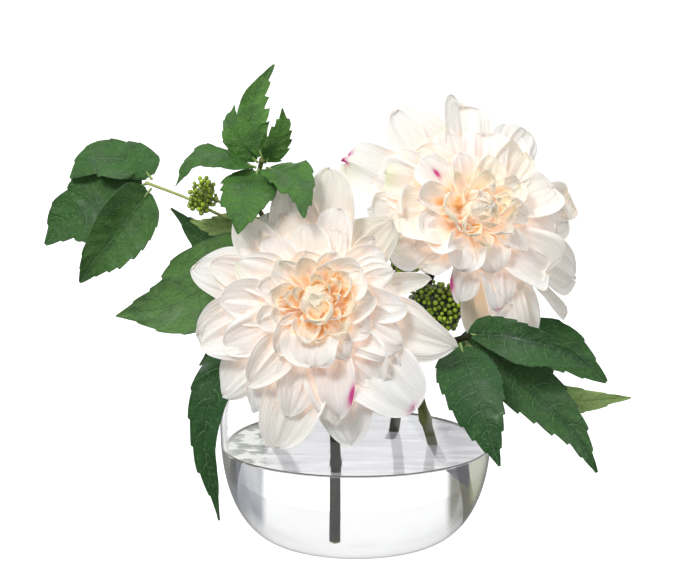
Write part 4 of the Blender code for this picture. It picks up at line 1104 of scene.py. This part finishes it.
def growBerries(name, base, tree, plan):
    modifier = base.modifiers.new("berries", "NODES")
    modifier.node_group = tree
    sizes = {"Distance": plan["distance"] / 1000, "Radius": plan["radius"] / 1000, "Seed": plan["seed"]}
    for item in tree.interface.items_tree:
        if item.in_out == "INPUT" and item.name in sizes:
            modifier[item.identifier] = sizes[item.name]
    depsgraph = bpy.context.evaluated_depsgraph_get()
    mesh = bpy.data.meshes.new_from_object(base.evaluated_get(depsgraph))
    base.modifiers.clear()
    made = bpy.data.objects.new(name, mesh)
    bpy.context.collection.objects.link(made)
    return made


berryFinish = {
    "shade": (0.012, 0.035, 0.002, 1), "light": (0.55, 0.78, 0.05, 1), "bloom": (0.44, 0.55, 0.12, 1),
    "side": (0.010, 0.028, 0.002, 1),
}


def makeBerryFinish(plan=berryFinish):
    material, shader, wire = newFinish("berrySkin", (0.15, 0.27, 0.03, 1), {
        "Coat Weight": 0.6, "Coat Roughness": 0.1, "Specular IOR Level": 0.3, "Subsurface Weight": 0.1,
        "Subsurface Scale": 0.001})
    noise = objectPlace(wire).noise(420)
    colour = attribute(wire, "tone").blend(plan["shade"], plan["light"])
    colour = (noise.smooth(0.5, 0.75) * 0.4).blend(colour, plan["bloom"])
    # painted shade on the rims turned from the view, which leaves each centre bright as a painted highlight
    colour = turnedAway(wire).smooth(0.08, 0.8).blend(colour, plan["side"])
    join(shader, colour=colour, roughness=0.3 + noise * 0.2, normal=noise.bump(0.0004, 0.3))
    return material


def berryStalks(middle, half, end, ways):
    # from the cluster's own stalk out to every second tuft
    sheets = []
    for way in ways[::2]:
        route = smoothRoute([end, (end + middle) / 2 + way * half * 0.15, middle + way * half * 0.7], 6)
        sheets.append(tubeSheet(route * 1000, (0.45, 0.3), 6))
    return sheets


def makeBerries(finish, stalkFinish):
    tree = makeBerryTree(finish)
    for node, plan in berryPlans.items():
        bare = nodePoints(node)
        low, high = bare.min(axis=0), bare.max(axis=0)
        middle = (low + high) / 2 + plan.get("shift", (0, 0, 0))
        half = (high - low) / 2 * plan.get("grow", 1)
        dice = np.random.default_rng(plan["seed"])
        ways = spreadWays(plan["tufts"], 0.5)
        size = plan["tuft"]
        balls = []
        for way in ways:
            place = middle + way * half * (1.0 - size) * dice.uniform(0.85, 1.0)
            balls.append(ballSheet(place, half.mean() * size, 8))
        points, faces, values = gather(balls)
        name = pieceName(node)
        base = addPiece(name + "Base", points, faces, values, finish)
        piece = growBerries(name, base, tree, plan)
        bpy.data.objects.remove(base)
        core = [ballSheet(middle, half * plan["core"], 16)]
        if plan.get("stalks"):
            core += berryStalks(middle, half, middle + (high - middle) * (0.75, 0.1, -0.45), ways)
        points, faces, values = gather(core)
        # a core without stalks takes the darkest berry colour: painted shade in the gaps between the berries
        values = {"tone": np.zeros(len(points))}
        coreFinish = stalkFinish if plan.get("stalks") else finish
        inside = addPiece(name + "Core", points, faces, values, coreFinish)
        install(piece, "berry", [node])
        install(inside, "berry", [])


def ballSheet(place, size, steps):
    rise = np.linspace(0, math.pi, steps)[1:-1, None]
    turn = np.arange(steps * 2)[None, :] * math.pi / steps
    flat = np.sin(rise)
    ring = np.stack([flat * np.cos(turn), flat * np.sin(turn), np.cos(rise) + 0 * turn], axis=-1)
    points = np.vstack([ring.reshape(-1, 3), [[0, 0, 1], [0, 0, -1]]]) * size + place
    return {"points": points, "faces": ringFaces(steps - 2, steps * 2, downward=True), "values": {}}


# The green bracts behind a head, over a turned core; every second bract is shorter. Core: depth and radius
# pairs
calyxPlan = {
    "bracts": 10, "reach": (15, 21), "rise": (-7, -3), "sides": 24, "seat": -1.6,
    "core": ((0.3, 4.0), (0.3, 9.5), (-3, 10.4), (-7, 9.0), (-10, 6.5), (-13.5, 4.4), (-13.5, 2.0)),
    "bract": {"root": 3, "level": -7, "width": 9, "bow": -3.0, "curl": 1.0, "cup": 0.3, "round": 1.6,
              "ruffle": 0.3, "thickness": 0.6, "crease": 0.1},
}


def makeCalyx(name, finish, plan=calyxPlan):
    head = headFrame(name)
    dice = np.random.default_rng(21)
    sheets = []
    for k in range(plan["bracts"]):
        turn = 360 / plan["bracts"] * k + dice.uniform(-4, 4)
        bract = {**plan["bract"], "turn": turn, "reach": plan["reach"][k % 2], "rise": plan["rise"][k % 2]}
        sheet = petalSheet(head, bract, *petalMesh["bract"], dice)
        own = {key: sheet["values"][key] for key in ("u", "v")}
        plain = everywhere(sheet["points"], half=0.3, tone=0.8, pale=0.5)
        sheets.append({**sheet, "values": {**own, **plain}})
    sides = plan["sides"]
    turn = (np.arange(sides) * 2 * math.pi / sides)[:, None]
    ring = head["right"] * np.cos(turn) + head["up"] * np.sin(turn)
    seat = head["seat"] * 1000
    rows = np.stack([seat + head["axis"] * (depth + plan["seat"]) + ring * radius
                     for depth, radius in plan["core"]])
    points = np.vstack([rows.reshape(-1, 3), rows[0].mean(axis=0), rows[-1].mean(axis=0)]) / 1000
    sheets.append({"points": points, "faces": ringFaces(len(rows), sides, downward=True),
                   "values": everywhere(points, u=0, v=0.5, half=0.4, tone=0.8, pale=0.5)})
    points, faces, values = gather(sheets)
    piece = addPiece(name.replace("_dahlia", "") + "Calyx", points, faces, values, finish)
    install(piece, "pale_leaf", [name + "_calyx"])


# The bowl repeats the frame's profile with many more steps: a squarish quarter curve, then an ellipse to
# the rim
bowlPlan = {"power": 2.33, "bellyShare": 0.6449, "foot": 0.0345, "mouth": 0.056, "wall": 0.0022,
            "floor": 0.0055, "sides": 192, "steps": 40, "lipSteps": 9}
# The water overlaps the glass, and climbs it at its brim: places in from the wall and up from the level
waterPlan = {"over": 0.0003, "brim": ((0, 0.0011), (-0.0006, 0.0006), (-0.0016, 0.0002), (-0.0035, 0))}


def turnedPiece(name, profile, sides, material):
    # a profile of radius and height turned round the upright axis, from its lowest point on the axis to its
    # last
    turn = np.arange(sides) * 2 * math.pi / sides
    profile = np.array(profile)
    ring = np.stack([np.cos(turn), np.sin(turn), 0 * turn], axis=1)
    radius, height = profile[1:-1, 0, None, None], profile[1:-1, 1, None, None]
    points = (ring[None] * radius + np.array([0, 0, 1.0]) * height).reshape(-1, 3)
    points = np.vstack([points, [[0, 0, profile[0, 1]], [0, 0, profile[-1, 1]]]])
    return addPiece(name, points, ringFaces(len(radius), sides), {}, material)


def bowlSide(height, widest, inset, floor):
    # from the floor's edge up to the rim, the outer line moved in by the inset
    steps, share = bowlPlan["steps"], 2 / bowlPlan["power"]
    middle, top = height * bowlPlan["bellyShare"], height - bowlPlan["wall"] / 2
    foot, belly = bowlPlan["foot"] - inset, widest - inset
    points = []
    for t in np.linspace(0, math.pi / 2, steps):
        across, down = math.sin(t) ** share, math.cos(t) ** share
        points.append((foot + (belly - foot) * across, middle - (middle - floor) * down))
    shoulder = (height - middle) / math.sqrt(1 - (bowlPlan["mouth"] / widest) ** 2)
    for z in np.linspace(middle, top, steps // 2)[1:]:
        points.append((belly * math.sqrt(1 - ((z - middle) / shoulder) ** 2), z))
    return points


def waterLevel():
    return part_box("water")[1].z


def makeBowl(glass, water):
    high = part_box("glass_bowl")[1]
    wall, floor, sides = bowlPlan["wall"], bowlPlan["floor"], bowlPlan["sides"]
    outer = bowlSide(high.z, high.x, 0, 0)
    inner = bowlSide(high.z, high.x, wall, floor)
    middle, reach = (outer[-1][0] + inner[-1][0]) / 2, (outer[-1][0] - inner[-1][0]) / 2
    lip = [(middle + reach * math.cos(t), outer[-1][1] + reach * math.sin(t))
           for t in np.linspace(0, math.pi, bowlPlan["lipSteps"])[1:-1]]
    piece = turnedPiece("glassBowl", [(0, 0)] + outer + lip + inner[::-1] + [(0, floor)], sides, glass)
    install(piece, "glass", ["glass_bowl"])
    level, over = waterLevel(), waterPlan["over"]
    side = [point for point in bowlSide(high.z, high.x, wall - over, floor - over) if point[1] < level]
    brim = [(side[-1][0] + along, level + up) for along, up in waterPlan["brim"]]
    piece = turnedPiece("waterBody", [(0, floor - over)] + side + brim + [(0, level)], sides, water)
    install(piece, "water", ["water"])


glassFinish = {"colour": (0.996, 0.998, 0.998, 1), "bend": 1.47, "edge": (0.03, 0.035, 0.035, 1)}


def makeGlass(plan=glassFinish):
    fixed = {"Transmission Weight": 1.0, "IOR": plan["bend"], "Roughness": 0.0}
    material, shader, wire = newFinish("clearGlass", plan["colour"], fixed)
    join(shader, normal=objectPlace(wire).noise(18, 1).bump(0.0008, 0.25))
    # a painted dark line, standing in for refraction, where the clear wall is seen nearly side on
    height = objectPlace(wire).part("Z")
    edge = turnedAway(wire).smooth(0.71, 0.93) * (height.smooth(0.005, 0.04) * 0.7 + 0.3)
    line = wire.node("ShaderNodeBsdfPrincipled", inputs={"Base Color": plan["edge"], "Roughness": 0.2})
    finishWith(material, mixShaders(edge, Wire(wire.tree, shader.outputs[0]), line))
    return material


waterFinish = {
    "colour": (0.997, 0.998, 0.998, 1), "bend": 1.333,
    "left": (0.15, 0.165, 0.205, 1), "right": (0.13, 0.125, 0.09, 1),
    "wedge": (0.055, 0.055, 0.072, 1), "olive": (0.34, 0.37, 0.19, 1), "stem": (0.045, 0.05, 0.036, 1),
    "film": ((0.23, 0.23, 0.26, 1), (0.39, 0.39, 0.42, 1)),
    "refractedLeft": ((0.10, 0.12, 0.07, 1), (0.62, 0.63, 0.58, 1)),
    "brim": (0.10, 0.09, 0.08, 1),
}


def litColour(colour):
    # a colour that glows as it is, whatever light falls on it, for painted light and shade
    return colour.node("ShaderNodeBsdfPrincipled", inputs={
        "Base Color": (0, 0, 0, 1), "Roughness": 0.1, "Emission Color": colour, "Emission Strength": 1.0})


def waterSides(place, ripple, plan):
    # painted refraction: the thick of it bends dark blue and grey into the view at both sides; in front, a
    # leaf and a stem behind are painted there as a dark wedge, an olive streak and a dark one at the left
    across, height = place.part("X"), place.part("Z")
    streaks = place.stretched((1, 1, 0.15)).noise(60).smooth(0.3, 0.7) * 0.35 + 0.65
    edge = (turnedAway(place) + (ripple - 0.5) * 0.04).smooth(0.08, 0.14) * streaks
    edge = edge * height.smooth(0.008, 0.03) * across.size().smooth(0.047, 0.052)
    front = 1 - place.part("Y").smooth(-0.02, 0.0)
    inner = across.smooth(0.047, 0.049) * (1 - across.smooth(0.0605, 0.0625))
    wedge = (height + across * 1.1).smooth(0.1065, 0.1085) * inner * front
    olive = across.smooth(0.0605, 0.0625) * height.smooth(0.024, 0.036) * front
    stem = (across * -1).smooth(0.0635, 0.0655) * height.smooth(0.036, 0.042) * front
    tint = across.smooth(-0.03, 0.03).blend(plan["left"], plan["right"])
    tint = wedge.blend(tint, plan["wedge"])
    tint = (olive * (streaks * 0.8 + 0.1)).blend(tint, plan["olive"])
    tint = stem.blend(tint, plan["stem"])
    return edge.most(wedge).most(olive * 0.8), tint


def waterTop(place, level, plan):
    # a painted veil of reflection, faint lavender with bands of light across it, thicker near the side
    # walls;
    # painted grey-green images of the stems seen through it at the left, and a painted dark line at the brim
    across, height = place.part("X"), place.part("Z")
    bands = place.stretched((1, 6, 1)).noise(26, 3)
    spots = place.noise(90, 4)
    left = (across * -1 + spots * 0.03).smooth(0.055, 0.072)
    top = height.smooth(level - 0.0004, level - 0.0001)
    brim = height.smooth(level + 0.0001, level + 0.0004)
    film = bands.smooth(0.35, 0.65).blend(*plan["film"])
    film = left.blend(film, spots.smooth(0.46, 0.56).blend(*plan["refractedLeft"]))
    film = brim.blend(film, plan["brim"])
    side = across.size().smooth(0.036, 0.058) * 0.35
    return top, top * (side * 0.8 + brim * 0.35 + 0.6), film


def makeWater(plan=waterFinish):
    fixed = {"Transmission Weight": 1.0, "IOR": plan["bend"], "Roughness": 0.0}
    material, shader, wire = newFinish("clearWater", plan["colour"], fixed)
    place = objectPlace(wire)
    ripple = place.noise(35)
    join(shader, normal=ripple.bump(0.0010, 0.15))
    edge, tint = waterSides(place, ripple, plan)
    top, cover, film = waterTop(place, waterLevel(), plan)
    clear = Wire(wire.tree, shader.outputs[0])
    # the painted sides and the painted veil glow over the clear water, by their shares
    sided = mixShaders(edge * (1 - top) * 0.95, clear, litColour(tint))
    finishWith(material, mixShaders(cover, sided, litColour(film)))
    return material


cameraPlan = {"place": (0.0, -1.4426, 0.4109), "aim": (-0.0032, -0.030, 0.1519), "lens": 135.3,
              "farthest": 50}


def turnTowards(thing, aim):
    thing.rotation_euler = (Vector(aim) - thing.location).to_track_quat("-Z", "Y").to_euler()


def addCamera(plan=cameraPlan):
    camera = bpy.data.objects.new("camera", bpy.data.cameras.new("camera"))
    camera.location = plan["place"]
    turnTowards(camera, plan["aim"])
    camera.data.lens = plan["lens"]
    camera.data.clip_end = plan["farthest"]
    bpy.context.collection.objects.link(camera)
    bpy.context.scene.camera = camera


# Width in metres, power in watts
lightPlans = {
    "keyLight": {"place": (-0.75, -1.15, 1.5), "aim": (0, 0, 0.15), "width": 0.45, "power": 19,
                 "colour": (1.0, 0.985, 0.965)},
    "fillLight": {"place": (1.4, -1.0, 0.8), "aim": (0, 0, 0.15), "width": 1.2, "power": 4,
                  "colour": (0.97, 0.985, 1.0)},
}


def addLights():
    for name, plan in lightPlans.items():
        lamp = bpy.data.objects.new(name, bpy.data.lights.new(name, "AREA"))
        lamp.data.size = plan["width"]
        lamp.data.energy = plan["power"]
        lamp.data.color = plan["colour"]
        lamp.location = plan["place"]
        turnTowards(lamp, plan["aim"])
        bpy.context.collection.objects.link(lamp)


def lightPath(wire, kind):
    return wire.node("ShaderNodeLightPath", output=kind)


def addStudio():
    # white behind and above for the glass, with a grey front that draws its edges; softer for all that
    # isn't shiny
    world = bpy.data.worlds.new("studio")
    world.use_nodes = True
    bpy.context.scene.world = world
    way = Wire(world.node_tree).node("ShaderNodeTexCoord", output="Generated")
    depth, height = way.part("Y"), way.part("Z")
    soft = depth.smooth(0.35, 0.75).most(height.smooth(0.25, 0.85) * 0.8) * 0.84 + 0.49
    clear = depth.smooth(-0.15, 0.3).most(height.smooth(0.2, 0.6)) * 0.8 + 0.25
    strength = clear + (soft - clear) * lightPath(way, "Is Diffuse Ray")
    strength = strength.most(lightPath(way, "Is Camera Ray"))
    back = world.node_tree.nodes["Background"]
    back.inputs["Color"].default_value = (1, 1, 1, 1)
    world.node_tree.links.new(strength.socket, back.inputs["Strength"])
    bpy.context.scene.view_settings.view_transform = "Standard"


floorPlan = {"radius": 30, "sides": 64, "colour": (0.2, 0.2, 0.2, 1), "glow": 1.12}


def addFloor(plan=floorPlan):
    bpy.ops.mesh.primitive_circle_add(vertices=plan["sides"], radius=plan["radius"], fill_type="NGON")
    floor = bpy.context.object
    floor.name = "floor"
    fixed = {"Roughness": 0.9, "Emission Strength": plan["glow"]}
    material, shader, wire = newFinish("palePaper", plan["colour"], fixed)
    # less of its light goes into other surfaces and mirror images than straight on, and a painted shadow of
    # the vase shows where the water bends the view down to it
    place = objectPlace(wire)
    far = place.node("ShaderNodeVectorMath", {"operation": "LENGTH"}, {0: place}, "Value").smooth(0.05, 0.42)
    dimmed = lightPath(wire, "Is Diffuse Ray") * 0.12 + lightPath(wire, "Is Reflection Ray") * 0.8
    dimmed = dimmed + lightPath(wire, "Is Transmission Ray") * (1 - far) * 0.06
    join(shader, glow=dimmed.blend((1, 1, 1, 1), (0, 0, 0, 1)))
    floor.data.materials.append(material)


addCamera()
addLights()
addStudio()
addFloor()
print("camera, lights and floor placed")

petalCloth = makePetalFinish()
leafCloth = makeLeafFinish()
stems = {name: makeStemFinish(name, plan) for name, plan in stemFinish.items()}
makeBowl(makeGlass(), makeWater())
makeDahlia("front_dahlia", 3, petalCloth)
makeDahlia("rear_dahlia", 11, petalCloth)
makeCalyx("front_dahlia", leafCloth)
makeCalyx("rear_dahlia", leafCloth)
makeLeaves(leafCloth)
makeStems(stems)
makeBerries(makeBerryFinish(), stems["pale"])
